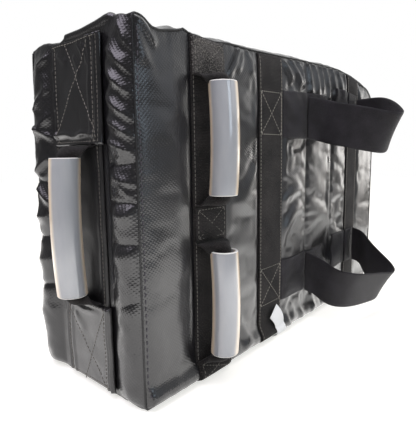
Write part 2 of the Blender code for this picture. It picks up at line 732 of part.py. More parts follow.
# Care label
def add_label():
    """A limp tape that stands up from the lower seam and turns towards the grips."""
    stations = np.array([station for station, _ in LABEL_ROUTE]) * LABEL_TIP
    tilt = np.radians([angle for _, angle in LABEL_ROUTE])
    x = NEAR_END + LABEL_PLACE + stations[:, 0]
    under = WEBBING + 2 * GAP + LABEL_SHEET / 2
    band = np.array([back_offset(LOOP_BAND_NEAR_PLACE, height) for height in stations[:, 2]])
    y = BACK_PLANE - band - under - stations[:, 1]
    centres = np.stack([x, y, stations[:, 2]], axis=1)
    across = np.stack([np.cos(tilt), np.zeros_like(tilt), np.sin(tilt)], axis=1)
    add_ribbon("care_label", centres, across, LABEL_WIDTH, LABEL_SHEET, "label", centres[0])


def main():
    clear_scene()
    add_face_panels()
    add_ends()
    add_long_sides()
    add_foams()
    add_bands()
    add_end_layers()
    add_grips()
    add_loops()
    add_label()
    bpy.context.view_layer.update()


main()
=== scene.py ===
"""Strike shield, dressed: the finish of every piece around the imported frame.

Metres, in the frame's own axes: X along the shield from the gripped end, Y through it with the
user's face to -Y, Z up across its width. Places on the user's face are given as (along, height):
the distance from the seam at the gripped end and the height over the floor. Places on the
gripped end are (depth, height): Y and the height.
"""

import json
import math

import bpy
import numpy as np
from mathutils import Matrix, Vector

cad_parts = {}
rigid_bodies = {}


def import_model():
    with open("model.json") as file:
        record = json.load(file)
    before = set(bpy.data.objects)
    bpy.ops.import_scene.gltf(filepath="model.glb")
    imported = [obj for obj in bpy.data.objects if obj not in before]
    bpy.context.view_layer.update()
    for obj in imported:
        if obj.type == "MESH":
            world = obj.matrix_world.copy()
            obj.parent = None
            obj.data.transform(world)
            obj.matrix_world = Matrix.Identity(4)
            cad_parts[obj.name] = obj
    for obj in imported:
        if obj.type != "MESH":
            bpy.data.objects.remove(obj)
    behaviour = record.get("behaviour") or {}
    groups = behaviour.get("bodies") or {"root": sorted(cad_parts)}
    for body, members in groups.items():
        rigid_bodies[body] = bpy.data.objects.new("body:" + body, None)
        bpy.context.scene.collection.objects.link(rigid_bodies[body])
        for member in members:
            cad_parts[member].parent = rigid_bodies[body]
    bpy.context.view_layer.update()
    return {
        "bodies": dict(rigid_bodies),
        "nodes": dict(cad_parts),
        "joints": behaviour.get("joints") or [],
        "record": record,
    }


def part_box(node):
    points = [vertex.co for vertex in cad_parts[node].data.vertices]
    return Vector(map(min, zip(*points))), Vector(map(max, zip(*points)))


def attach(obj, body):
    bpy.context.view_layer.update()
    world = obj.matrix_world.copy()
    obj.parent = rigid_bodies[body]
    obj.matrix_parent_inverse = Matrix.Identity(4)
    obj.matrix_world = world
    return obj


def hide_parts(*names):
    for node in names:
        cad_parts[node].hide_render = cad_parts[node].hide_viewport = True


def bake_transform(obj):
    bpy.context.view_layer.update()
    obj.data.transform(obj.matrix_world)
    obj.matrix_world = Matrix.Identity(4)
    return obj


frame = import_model()


# Sizes that the frame gives
def corners(node):
    """The low and high corner of a node's box."""
    low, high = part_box(node)
    return np.array(low), np.array(high)


# Thickness of vinyl and webbing, and the room between layers
VINYL = 0.0015
WEBBING = 0.0016
GAP = 0.0003
FACE_LOW, FACE_HIGH = corners("back_panel")
NEAR_END = FACE_LOW[0]
FAR_END = FACE_HIGH[0]
LENGTH = FAR_END - NEAR_END
WIDTH = FACE_HIGH[2]
BACK_PLANE = FACE_HIGH[1] - VINYL
HALF_DEPTH = -BACK_PLANE
BACK_CROWN = BACK_PLANE - FACE_LOW[1]
STRIKE_CROWN = corners("strike_panel")[1][1] - HALF_DEPTH
FAR_BULGE = corners("far_end_panel")[1][0] - FAR_END
UPPER_BULGE = corners("upper_side_panel")[1][2] - WIDTH
# Outline radii at the gripped end and the far end
NEAR_RADIUS = 0.0036
FAR_RADIUS = 0.055
# How far a band draws the face in, how far a seam lies in and how wide the cover rolls to it
BAND_DRAW = 0.002
SEAM_INSET = 0.0015
SEAM_ROLL = 0.008
END_DRAWN = NEAR_END - corners("end_strip")[0][0] - VINYL - GAP
PATCH_LOW, PATCH_HIGH = corners("end_patch_upper")
PATCH_MARGIN = 0.003
END_LEVEL = max(-PATCH_LOW[1], PATCH_HIGH[1]) + PATCH_MARGIN

BANDS = []
for band_node in ("grip_band", "loop_band_near", "loop_band_far"):
    band_low, band_high = corners(band_node)
    BANDS.append((band_low[0] - NEAR_END, band_high[0] - NEAR_END))


# Camera, at the photograph's place
EYE = (-0.5309, -0.3818, 0.2486)
YAW = math.radians(41.18)
PITCH = math.radians(-7.78)
ROLL = math.radians(-0.76)
LENS = 35.02
SENSOR = 36.0


def put_looking(thing, place, right, up, look):
    """Puts a camera or a lamp at a place, looking along look."""
    turn = Matrix((right, up, -look)).transposed().to_4x4()
    turn.translation = place
    thing.matrix_world = turn
    bpy.context.scene.collection.objects.link(thing)


def add_camera():
    """Looks along yaw and pitch; roll turns its right and up axes about the line of sight."""
    view = np.array(
        [math.cos(YAW) * math.cos(PITCH), math.sin(YAW) * math.cos(PITCH), math.sin(PITCH)]
    )
    level = np.cross(view, (0.0, 0.0, 1.0))
    level /= np.linalg.norm(level)
    upright = np.cross(level, view)
    right = math.cos(ROLL) * level + math.sin(ROLL) * upright
    up = math.cos(ROLL) * upright - math.sin(ROLL) * level
    data = bpy.data.cameras.new("camera")
    data.lens = LENS
    data.sensor_width = SENSOR
    data.sensor_fit = "AUTO"
    camera = bpy.data.objects.new("camera", data)
    put_looking(camera, EYE, right, up, view)
    bpy.context.scene.camera = camera


# Meshes from computed points
def signed_volume(points, faces):
    """Six times the volume within fans of triangles over the faces; positive when they look out."""
    total = 0.0
    for group in faces:
        first = points[group[:, 0]]
        for k in range(1, group.shape[1] - 1):
            side = np.cross(points[group[:, k]], points[group[:, k + 1]])
            total += float(np.einsum("ij,ij->", first, side))
    return total


def add_piece(name, points, faces, material, body, uv=None, smooth=True):
    """One mesh object at the origin from points (n, 3) and groups of faces (m, corners).

    A closed mesh has its faces turned to look out. uv gives each point its place on the sheet.
    """
    points = np.asarray(points, float).reshape(-1, 3)
    groups = [np.asarray(group, int) for group in faces if len(group)]
    if signed_volume(points - points.mean(0), groups) < 0:
        groups = [group[:, ::-1] for group in groups]
    loops = np.concatenate([group.ravel() for group in groups])
    sizes = np.concatenate([np.full(len(group), group.shape[1]) for group in groups])
    mesh = bpy.data.meshes.new(name)
    mesh.vertices.add(len(points))
    mesh.vertices.foreach_set("co", points.astype(np.float32).ravel())
    mesh.loops.add(len(loops))
    mesh.loops.foreach_set("vertex_index", loops.astype(np.int32))
    mesh.polygons.add(len(sizes))
    starts = np.concatenate([[0], np.cumsum(sizes)[:-1]])
    mesh.polygons.foreach_set("loop_start", starts.astype(np.int32))
    if uv is not None:
        layer = mesh.uv_layers.new(name="sheet")
        layer.data.foreach_set("uv", np.asarray(uv, np.float32)[loops].ravel())
    mesh.update(calc_edges=True)
    mesh.validate()
    if smooth:
        mesh.shade_smooth()
    piece = bpy.data.objects.new(name, mesh)
    bpy.context.scene.collection.objects.link(piece)
    mesh.materials.append(material)
    if body:
        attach(piece, body)
    return piece


def grid_faces(rows, columns, wrap_rows=False, wrap_columns=False, start=0):
    """Quads of a grid of points numbered row by row, joined up round either way on request."""
    index = np.arange(rows * columns).reshape(rows, columns) + start
    if wrap_rows:
        index = np.vstack([index, index[:1]])
    if wrap_columns:
        index = np.hstack([index, index[:, :1]])
    a, b = index[:-1, :-1], index[:-1, 1:]
    c, d = index[1:, 1:], index[1:, :-1]
    return np.stack([a, b, c, d], axis=-1).reshape(-1, 4)


def shell_faces(rows, columns):
    """Quads of a closed sheet: one grid, the same grid turned over, and the rim between them."""
    count = rows * columns
    index = np.arange(count).reshape(rows, columns)
    rim = np.concatenate([index[0, :-1], index[:-1, -1], index[-1, :0:-1], index[:0:-1, 0]])
    after = np.roll(rim, -1)
    front = grid_faces(rows, columns)
    back = grid_faces(rows, columns, start=count)[:, ::-1]
    edge = np.stack([after, rim, rim + count, after + count], axis=1)
    return np.concatenate([front, back, edge])


def add_sheet_piece(name, front, back, material, body, uv):
    """A closed sheet between two grids of points (rows, columns, 3) that share their uv."""
    rows, columns = front.shape[:2]
    points = np.concatenate([front.reshape(-1, 3), back.reshape(-1, 3)])
    both = np.concatenate([uv.reshape(-1, 2), uv.reshape(-1, 2)])
    return add_piece(name, points, [shell_faces(rows, columns)], material, body, both)


def sheet_uv(across, run):
    """Places on a sheet in metres, from its columns' places across it and its rows' along it."""
    return np.stack(np.meshgrid(across, run), axis=-1)


def unit(vectors):
    """Each vector over its own length."""
    return vectors / np.maximum(np.linalg.norm(vectors, axis=-1, keepdims=True), 1e-12)


def run_along(points):
    """The length along a line of points, from its first point to each."""
    steps = np.linalg.norm(np.diff(points, axis=0), axis=1)
    return np.concatenate([[0.0], np.cumsum(steps)])


def spline(stations, count):
    """Natural cubic spline over the stations' chord lengths, read at evenly spaced lengths."""
    stations = np.asarray(stations, float)
    t = run_along(stations[:, :3])
    n = len(t)
    system = np.eye(n)
    right = np.zeros_like(stations)
    h = np.diff(t)
    slopes = np.diff(stations, axis=0) / h[:, None]
    for k in range(1, n - 1):
        system[k, k - 1 : k + 2] = (h[k - 1], 2 * (h[k - 1] + h[k]), h[k])
        right[k] = 6 * (slopes[k] - slopes[k - 1])
    bend = np.linalg.solve(system, right)
    at = np.linspace(0.0, t[-1], count)
    k = np.clip(np.searchsorted(t, at, side="right") - 1, 0, n - 2)
    before, after = (t[k + 1] - at)[:, None], (at - t[k])[:, None]
    width = h[k][:, None]
    return (
        bend[k] * before**3 / (6 * width)
        + bend[k + 1] * after**3 / (6 * width)
        + (stations[k] / width - bend[k] * width / 6) * before
        + (stations[k + 1] / width - bend[k + 1] * width / 6) * after
    )


def bump_between(value, low, high):
    """Rises smoothly from 0 at low to 1 at high."""
    share = np.clip((value - low) / (high - low), 0, 1)
    return share * share * (3 - 2 * share)


def rounded_edge(edge, radius, least):
    """A quarter circle's height over the distance from an edge: least at it, 1 past the radius."""
    return np.sqrt(np.clip(1 - (1 - np.clip(edge / radius, 0, 1)) ** 2, least, 1))


def bell(value, centre, width):
    """A rounded ridge of height 1 on a centre, that falls off over width."""
    return np.exp(-(((value - centre) / width) ** 2))


def read_between(table, at):
    """Reads a table of (place, value) pairs, straight between its places."""
    places, values = np.array(table).T
    return np.interp(at, places, values)


def soft_noise(u, v, seed):
    """Smooth random heights from -1 to 1 with hills about one unit apart.

    Random values at whole numbers, blended with a quintic step along both ways.
    """
    table = np.random.default_rng(seed).uniform(-1, 1, (64, 64))
    cell_u, cell_v = np.floor(u).astype(int), np.floor(v).astype(int)
    a, b = u - cell_u, v - cell_v
    a, b = a**3 * (a * (6 * a - 15) + 10), b**3 * (b * (6 * b - 15) + 10)
    near_u, far_u = cell_u % 64, (cell_u + 1) % 64
    near_v, far_v = cell_v % 64, (cell_v + 1) % 64
    low = table[near_u, near_v] * (1 - a) + table[far_u, near_v] * a
    high = table[near_u, far_v] * (1 - a) + table[far_u, far_v] * a
    return low * (1 - b) + high * b


def fold(u, v, line, height, width, tail=0.35, crisp=False):
    """A fold of cloth: height times a bell across the line, fading over its last share.

    The bell's width grows along the line, as a wrinkle opens away from the seam that gathers it.
    A crisp fold has a narrow crest between nearly flat flanks instead of a bell.
    """
    line = np.asarray(line, float)
    ends = run_along(line)
    best = np.full(np.shape(u), np.inf)
    along = np.zeros(np.shape(u))
    for k, step in enumerate(np.diff(ends)):
        du, dv = (line[k + 1] - line[k]) / step
        t = np.clip((u - line[k, 0]) * du + (v - line[k, 1]) * dv, 0, step)
        away = (u - line[k, 0] - t * du) ** 2 + (v - line[k, 1] - t * dv) ** 2
        nearer = away < best
        best = np.where(nearer, away, best)
        along = np.where(nearer, ends[k] + t, along)
    share = along / ends[-1]
    spread = width * (0.7 + 0.6 * share)
    apart = best / spread**2
    shape = np.exp(1.5 * (0.25 - np.sqrt(apart + 0.0625))) if crisp else np.exp(-apart)
    return height * shape * (1 - bump_between(share, 1 - tail, 1.0))


def gathers(along, away, pitch, reach, height, seed):
    """Puckers along a seam: rounded ribs of uneven pitch that die out away from it."""
    drift = 1.3 * soft_noise(along / (3.1 * pitch), away / (5 * pitch), seed)
    ribs = np.abs(np.sin(math.pi * (along / pitch + drift)))
    strength = 0.55 + 0.45 * soft_noise(along / (2.3 * pitch), away * 0 + 0.5, seed + 1)
    return height * (ribs - 0.6) * strength * np.exp(-away / reach)


def spaced(*stops):
    """Places along a line: (from, to, step) stretches put end to end."""
    parts = [np.linspace(a, b, max(2, round((b - a) / step) + 1)) for a, b, step in stops]
    return np.unique(np.round(np.concatenate(parts), 6))


def sample(field, rows, columns, row, column):
    """Reads a grid of values between its points, straight along both ways."""
    i = np.clip(np.searchsorted(rows, row, side="right") - 1, 0, len(rows) - 2)
    j = np.clip(np.searchsorted(columns, column, side="right") - 1, 0, len(columns) - 2)
    v = (row - rows[i]) / (rows[i + 1] - rows[i])
    u = (column - columns[j]) / (columns[j + 1] - columns[j])
    low = field[i, j] * (1 - u) + field[i, j + 1] * u
    high = field[i + 1, j] * (1 - u) + field[i + 1, j + 1] * u
    return low * (1 - v) + high * v


# Cloth simulation of the cover's panels
CLOTH_STEP = 0.0062
CLOTH_FRAMES = 20
# Each kind of panel's slack and the most that its cloth may move
FACE_CLOTH = (0.022, 0.0032)
STRUCK_CLOTH = (0.035, 0.0045)
SIDE_CLOTH = (0.035, 0.0040)


def cubic_weights(places, stops):
    """A matrix that reads values at places from even stops: Catmull-Rom weights of four stops."""
    step = stops[1] - stops[0]
    k = np.clip(((places - stops[0]) / step).astype(int), 0, len(stops) - 2)
    t = (places - stops[k]) / step
    parts = (
        0.5 * (-t + 2 * t**2 - t**3), 0.5 * (2 - 5 * t**2 + 3 * t**3),
        0.5 * (t + 4 * t**2 - 3 * t**3), 0.5 * (t**3 - t**2),
    )
    weights = np.zeros((len(places), len(stops)))
    for j, part in enumerate(parts):
        np.add.at(weights, (np.arange(len(places)), np.clip(k - 1 + j, 0, len(stops) - 1)), part)
    return weights


def settled(front, rows, columns, out, held, slack, cap):
    """How far a panel's cloth moves outwards when it is loosened, blown up and left to settle.

    The panel is laid out as an even grid of cloth, held where held(row, column) says that it is
    sewn; its rest lengths are longer by slack, so it buckles between its seams. The movement
    along out is capped and read back at the panel's own points.
    """
    r, c = (
        np.linspace(line[0], line[-1], max(6, round((line[-1] - line[0]) / CLOTH_STEP)))
        for line in (rows, columns)
    )
    column, row = np.meshgrid(c, r)
    start, away = (
        np.stack([sample(grid[..., k], rows, columns, row, column) for k in range(3)], axis=-1)
        for grid in (front, out)
    )
    faces = grid_faces(len(r), len(c))
    flat = start.reshape(-1, 3)
    first = faces[len(faces) // 2]
    across = np.cross(flat[first[1]] - flat[first[0]], flat[first[2]] - flat[first[0]])
    if across @ away.reshape(-1, 3)[first[0]] < 0:
        faces = faces[:, ::-1]
    scene = bpy.context.scene
    mesh = bpy.data.meshes.new("panel_cloth")
    mesh.from_pydata(flat.tolist(), [], faces.tolist())
    sheet = bpy.data.objects.new("panel_cloth", mesh)
    scene.collection.objects.link(sheet)
    sewn = sheet.vertex_groups.new(name="sewn")
    sewn.add(np.flatnonzero(held(row, column).ravel()).tolist(), 1.0, "REPLACE")
    cloth = sheet.modifiers.new("cloth", "CLOTH")
    coated = cloth.settings
    coated.vertex_group_mass = "sewn"
    coated.quality = 6
    coated.mass = 0.25
    coated.tension_stiffness = 25.0
    coated.compression_stiffness = 25.0
    coated.shear_stiffness = 12.0
    coated.bending_stiffness = 0.3
    coated.shrink_min = -slack
    coated.use_pressure = True
    coated.uniform_pressure_force = 4.0
    coated.effector_weights.gravity = 0.0
    cloth.point_cache.frame_start = 1
    cloth.point_cache.frame_end = CLOTH_FRAMES
    for frame in range(1, CLOTH_FRAMES + 1):
        scene.frame_set(frame)
    shaped = sheet.evaluated_get(bpy.context.evaluated_depsgraph_get()).to_mesh()
    moved = np.empty(len(flat) * 3, np.float32)
    shaped.vertices.foreach_get("co", moved)
    bpy.data.objects.remove(sheet)
    bpy.data.meshes.remove(mesh)
    scene.frame_set(1)
    stand = np.einsum("ijk,ijk->ij", moved.reshape(start.shape) - start, away)
    stand = cap * np.tanh(stand / cap)
    return cubic_weights(rows, r) @ stand @ cubic_weights(columns, c).T


# Materials
def linear(colour):
    """The linear RGBA of an sRGB hex colour."""
    channels = [int(colour[k : k + 2], 16) / 255 for k in (1, 3, 5)]
    level = [c / 12.92 if c <= 0.04045 else ((c + 0.055) / 1.055) ** 2.4 for c in channels]
    return (*level, 1.0)


def set_inputs(tree, node, inputs):
    """Gives each socket, by its name or number, a value or another node's socket to link."""
    for key, value in inputs.items():
        if isinstance(value, bpy.types.NodeSocket):
            tree.links.new(value, node.inputs[key])
        else:
            node.inputs[key].default_value = value


def add_node(tree, kind, inputs=None, **settings):
    """Adds a node with its settings and inputs."""
    node = tree.nodes.new(kind)
    for key, value in settings.items():
        setattr(node, key, value)
    set_inputs(tree, node, inputs or {})
    return node


def new_material(name):
    """A material with a shader on its output: gives it, its tree, the shader and its places."""
    material = bpy.data.materials.new(name)
    material.use_nodes = True
    tree = material.node_tree
    return material, tree, tree.nodes["Principled BSDF"], add_node(tree, "ShaderNodeTexCoord")


def coated_vinyl(name, dark, light, weave, roughness, weave_height, lacquer=0.85):
    """PVC-coated polyester tarpaulin, calendered: a lacquered coating thin over a twill scrim.

    The scrim's slanting ribs catch the light as fine lines, the lacquer gives wet highlights on
    every fold, and small creases and rubbed patches break them up.
    """
    material, tree, shader, place = new_material(name)
    sheet = place.outputs["UV"]
    blotch = add_node(tree, "ShaderNodeTexNoise", {"Vector": sheet, "Scale": 14.0, "Detail": 3.0})
    tint = add_node(
        tree, "ShaderNodeMix", {"Factor": blotch.outputs["Fac"], 6: linear(dark), 7: linear(light)},
        data_type="RGBA",
    )
    slant = add_node(
        tree, "ShaderNodeMapping", {"Vector": sheet, "Rotation": (0, 0, math.radians(38))}
    )
    twill = add_node(
        tree, "ShaderNodeTexWave",
        {"Vector": slant.outputs[0], "Scale": 0.314 / weave, "Distortion": 0.6, "Detail": 1.0},
        bands_direction="X",
    )
    yarn = add_node(
        tree, "ShaderNodeTexWave",
        {"Vector": slant.outputs[0], "Scale": 0.314 / weave, "Distortion": 0.8, "Detail": 1.0},
        bands_direction="Y",
    )
    cross = add_node(
        tree, "ShaderNodeMath", {0: twill.outputs["Fac"], 1: yarn.outputs["Fac"]},
        operation="MULTIPLY",
    )
    crease = add_node(
        tree, "ShaderNodeTexNoise",
        {"Vector": sheet, "Scale": 60.0, "Detail": 4.0, "Roughness": 0.6, "Distortion": 0.8},
    )
    fine = add_node(
        tree, "ShaderNodeBump",
        {"Height": cross.outputs[0], "Strength": 0.7, "Distance": weave_height},
    )
    wide = add_node(
        tree, "ShaderNodeBump",
        {"Height": crease.outputs["Fac"], "Strength": 0.5, "Distance": 0.0010,
         "Normal": fine.outputs[0]},
    )
    scuff = add_node(
        tree, "ShaderNodeMapRange",
        {"Value": blotch.outputs["Fac"], "From Min": 0.3, "From Max": 0.7,
         "To Min": roughness - 0.07, "To Max": roughness + 0.09},
    )
    set_inputs(tree, shader, {
        "Base Color": tint.outputs[2], "Roughness": scuff.outputs[0], "Normal": wide.outputs[0],
        "Specular IOR Level": 0.5, "IOR": 1.5,
        "Coat Weight": lacquer, "Coat Roughness": 0.24, "Coat Normal": fine.outputs[0],
    })
    return material


def woven_webbing(name, dark, light, rib, speck, roughness):
    """Spun polyester webbing, woven: ribs across it, and paler fibres whose specks in its colour
    also paint the glints they catch.
    """
    material, tree, shader, place = new_material(name)
    sheet = place.outputs["UV"]
    across = add_node(
        tree, "ShaderNodeTexWave", {"Vector": sheet, "Scale": 0.314 / rib, "Distortion": 1.0},
        bands_direction="X",
    )
    ribs = add_node(
        tree, "ShaderNodeTexWave", {"Vector": sheet, "Scale": 0.314 / rib, "Distortion": 1.4},
        bands_direction="Y",
    )
    weave = add_node(
        tree, "ShaderNodeMath", {0: across.outputs["Fac"], 1: ribs.outputs["Fac"]},
        operation="MULTIPLY",
    )
    # Specks of paler colour: partly paler fibres, partly painted glints
    fibre = add_node(tree, "ShaderNodeTexNoise", {"Vector": sheet, "Scale": 700.0, "Detail": 3.0})
    fleck = add_node(
        tree, "ShaderNodeMapRange",
        {"Value": fibre.outputs["Fac"], "From Min": 0.5, "From Max": 0.75, "To Max": speck},
    )
    patchy = add_node(tree, "ShaderNodeTexNoise", {"Vector": sheet, "Scale": 35.0, "Detail": 2.0})
    shade = add_node(
        tree, "ShaderNodeMath", {0: fleck.outputs[0], 1: patchy.outputs["Fac"]}, operation="ADD"
    )
    shade = add_node(
        tree, "ShaderNodeMapRange", {"Value": shade.outputs[0], "From Min": 0.35, "From Max": 1.1}
    )
    tint = add_node(
        tree, "ShaderNodeMix", {"Factor": shade.outputs[0], 6: linear(dark), 7: linear(light)},
        data_type="RGBA",
    )
    relief = add_node(
        tree, "ShaderNodeBump",
        {"Height": weave.outputs[0], "Strength": 0.8, "Distance": 0.0005},
    )
    fuzz = add_node(
        tree, "ShaderNodeBump",
        {"Height": fibre.outputs["Fac"], "Strength": 0.5, "Distance": 0.0003,
         "Normal": relief.outputs[0]},
    )
    set_inputs(tree, shader, {
        "Base Color": tint.outputs[2], "Roughness": roughness, "Normal": fuzz.outputs[0],
        "Specular IOR Level": 0.2, "Sheen Weight": 0.07, "Sheen Roughness": 0.5,
    })
    return material


def milky_hose():
    """Plasticised PVC hose, extruded: cloudy and half clear, with a wet shine and painted warm pale
    edges.

    The haze in its wall scatters light back. Seen along the wall, as at the hose's edges, more of
    it adds up: there the hose is less clear, and a paler, warmer colour is painted on where the
    surface turns edge-on, as painted light that the wall carries.
    """
    material, tree, shader, place = new_material("cloudy_pvc_hose")
    stretch = add_node(
        tree, "ShaderNodeMapping", {"Vector": place.outputs["Object"], "Scale": (1.0, 1.0, 0.25)}
    )
    haze = add_node(
        tree, "ShaderNodeTexNoise", {"Vector": stretch.outputs[0], "Scale": 90.0, "Detail": 3.0}
    )
    tint = add_node(
        tree, "ShaderNodeMix",
        {"Factor": haze.outputs["Fac"], 6: linear("#bfc3ca"), 7: linear("#dcdddf")},
        data_type="RGBA",
    )
    # Painted light: towards the edges the colour goes cream, standing in for light carried along
    # the wall
    facing = add_node(tree, "ShaderNodeLayerWeight", {"Blend": 0.5})
    wall = add_node(
        tree, "ShaderNodeMapRange",
        {"Value": facing.outputs["Facing"], "From Min": 0.32, "From Max": 0.62},
        interpolation_type="SMOOTHSTEP",
    )
    tint = add_node(
        tree, "ShaderNodeMix",
        {"Factor": wall.outputs[0], 6: tint.outputs[2], 7: linear("#f1ddc2")},
        data_type="RGBA",
    )
    clear = add_node(
        tree, "ShaderNodeMapRange", {"Value": wall.outputs[0], "To Min": 0.46, "To Max": 0.04}
    )
    wave = add_node(
        tree, "ShaderNodeBump",
        {"Height": haze.outputs["Fac"], "Strength": 0.15, "Distance": 0.0004},
    )
    set_inputs(tree, shader, {
        "Base Color": tint.outputs[2], "Roughness": 0.16, "IOR": 1.5, "Normal": wave.outputs[0],
        "Transmission Weight": clear.outputs[0], "Coat Weight": 1.0, "Coat Roughness": 0.04,
        "Sheen Weight": 1.0, "Sheen Roughness": 0.3, "Sheen Tint": linear("#ffe9cf"),
    })
    return material


def cut_hose():
    """The same PVC where a blade cut it: whitened, a little rough, and painted near white for the
    light piped along the wall to it.
    """
    material, tree, shader, place = new_material("cut_pvc_rim")
    score = add_node(
        tree, "ShaderNodeTexNoise",
        {"Vector": place.outputs["Object"], "Scale": 900.0, "Detail": 2.0},
    )
    # Near-white colour: partly the cut's own whitening, partly painted light piped along the wall
    # to the cut
    tint = add_node(
        tree, "ShaderNodeMix",
        {"Factor": score.outputs["Fac"], 6: linear("#f4efe4"), 7: linear("#ffffff")},
        data_type="RGBA",
    )
    set_inputs(tree, shader, {
        "Base Color": tint.outputs[2], "Roughness": 0.35,
        "Transmission Weight": 0.1, "Sheen Weight": 0.5,
    })
    return material


def satin_tape():
    """Woven polyester satin tape: white, with a soft sheen and thin grey streaks from its warp."""
    material, tree, shader, place = new_material("satin_tape")
    stretch = add_node(
        tree, "ShaderNodeMapping", {"Vector": place.outputs["UV"], "Scale": (9.0, 1.0, 1.0)}
    )
    streak = add_node(
        tree, "ShaderNodeTexNoise", {"Vector": stretch.outputs[0], "Scale": 90.0, "Detail": 3.0}
    )
    tint = add_node(
        tree, "ShaderNodeMix",
        {"Factor": streak.outputs["Fac"], 6: linear("#f2f2f1"), 7: linear("#ffffff")},
        data_type="RGBA",
    )
    relief = add_node(
        tree, "ShaderNodeBump",
        {"Height": streak.outputs["Fac"], "Strength": 0.4, "Distance": 0.0002},
    )
    set_inputs(tree, shader, {
        "Base Color": tint.outputs[2], "Roughness": 0.5, "Normal": relief.outputs[0],
        "Sheen Weight": 0.2,
    })
    return material


def sewing_thread(name, colour, painted_glint="#9a958c"):
    """Bonded polyester sewing thread, twisted: each stitch is a small barrel, flecked with a paler
    colour that paints glints on it.
    """
    material, tree, shader, place = new_material(name)
    lay = add_node(tree, "ShaderNodeTexNoise", {"Vector": place.outputs["Object"], "Scale": 1500.0})
    # Painted glints: fine paler flecks mixed into the thread's colour
    tint = add_node(
        tree, "ShaderNodeMix",
        {"Factor": lay.outputs["Fac"], 6: linear(colour), 7: linear(painted_glint)},
        data_type="RGBA",
    )
    set_inputs(tree, shader, {"Base Color": tint.outputs[2], "Roughness": 0.6})
    return material


def cut_foam():
    """Polyethylene foam slab, cut: matt, with small open cells."""
    material, tree, shader, place = new_material("cut_foam")
    cells = add_node(
        tree, "ShaderNodeTexVoronoi", {"Vector": place.outputs["Object"], "Scale": 500.0}
    )
    relief = add_node(
        tree, "ShaderNodeBump",
        {"Height": cells.outputs["Distance"], "Strength": 0.6, "Distance": 0.0006},
    )
    tint = add_node(
        tree, "ShaderNodeMix",
        {"Factor": cells.outputs["Distance"], 6: linear("#4a4a4e"), 7: linear("#6c6c70")},
        data_type="RGBA",
    )
    set_inputs(
        tree, shader,
        {"Base Color": tint.outputs[2], "Roughness": 0.9, "Normal": relief.outputs[0]},
    )
    return material


# The scrim's real pitch is under 1 mm; it is drawn at 2.4 or 2.7 mm to show from a step away
COVER = coated_vinyl("coated_tarpaulin", "#0d0c0e", "#1a191c", 0.0027, 0.34, 0.00020)
TRIM = coated_vinyl("coated_tarpaulin_trim", "#0f0e10", "#1c1b1d", 0.0024, 0.34, 0.00009)
STRIP = coated_vinyl("coated_tarpaulin_dull", "#0b0a0c", "#151416", 0.0024, 0.5, 0.00009, 0.15)
BAND = woven_webbing("woven_polyester_band", "#080707", "#3a3635", 0.0016, 0.8, 0.8)
NAPPED = woven_webbing("woven_polyester_napped", "#0e0c0c", "#686461", 0.0016, 1.5, 0.85)
STRAP = woven_webbing("woven_nylon_strap", "#191719", "#37343a", 0.0012, 0.4, 0.55)
HOSE = milky_hose()
HOSE_RIM = cut_hose()
TAPE = satin_tape()
THREAD = sewing_thread("bonded_thread_dark", "#1a181b")
BLACK_THREAD = sewing_thread("bonded_thread_black", "#100f11", "#56525a")
PALE_THREAD = sewing_thread("bonded_thread_pale", "#7d786f")
FOAM = cut_foam()


# The floor, the light and what is behind
FLOOR_SIZE = 8.0
FLOOR_DROP = 0.0004
# The paper's edge fades out between these distances from the origin
PAPER = (0.58, 1.08)
# The paper's own light: at the foot of the gripped end and, in gloss, past a distance from it; the
# lower level at the foot is a painted shadow seen in reflections
FLOOR_LIFT = 0.62
OPEN_LIFT = 1.6
FOOT = (-0.33, 0.10, 0.0)
PAINTED_SHADOW_FADE = (0.17, 0.50)
# In gloss the floor darkens to its bare colour between these distances from the foot
BARE_FLOOR = (1.0, 1.45)
# The backdrop's level off the gloss, the room's level in it, where the backdrop is brightest and
# the cosines over which it brightens
AMBIENT = 0.60
ROOM = 0.13
BACKDROP_AIM = math.radians(20)
BACKDROP_SWEEP = (0.2, 0.86)


def seen_rays(tree):
    """1 on rays from the camera and rays through clear material, 0 on the others."""
    rays = add_node(tree, "ShaderNodeLightPath")
    seen = add_node(
        tree, "ShaderNodeMath",
        {0: rays.outputs["Is Camera Ray"], 1: rays.outputs["Is Transmission Ray"]},
        operation="MAXIMUM",
    )
    return seen.outputs[0], rays.outputs["Is Glossy Ray"]


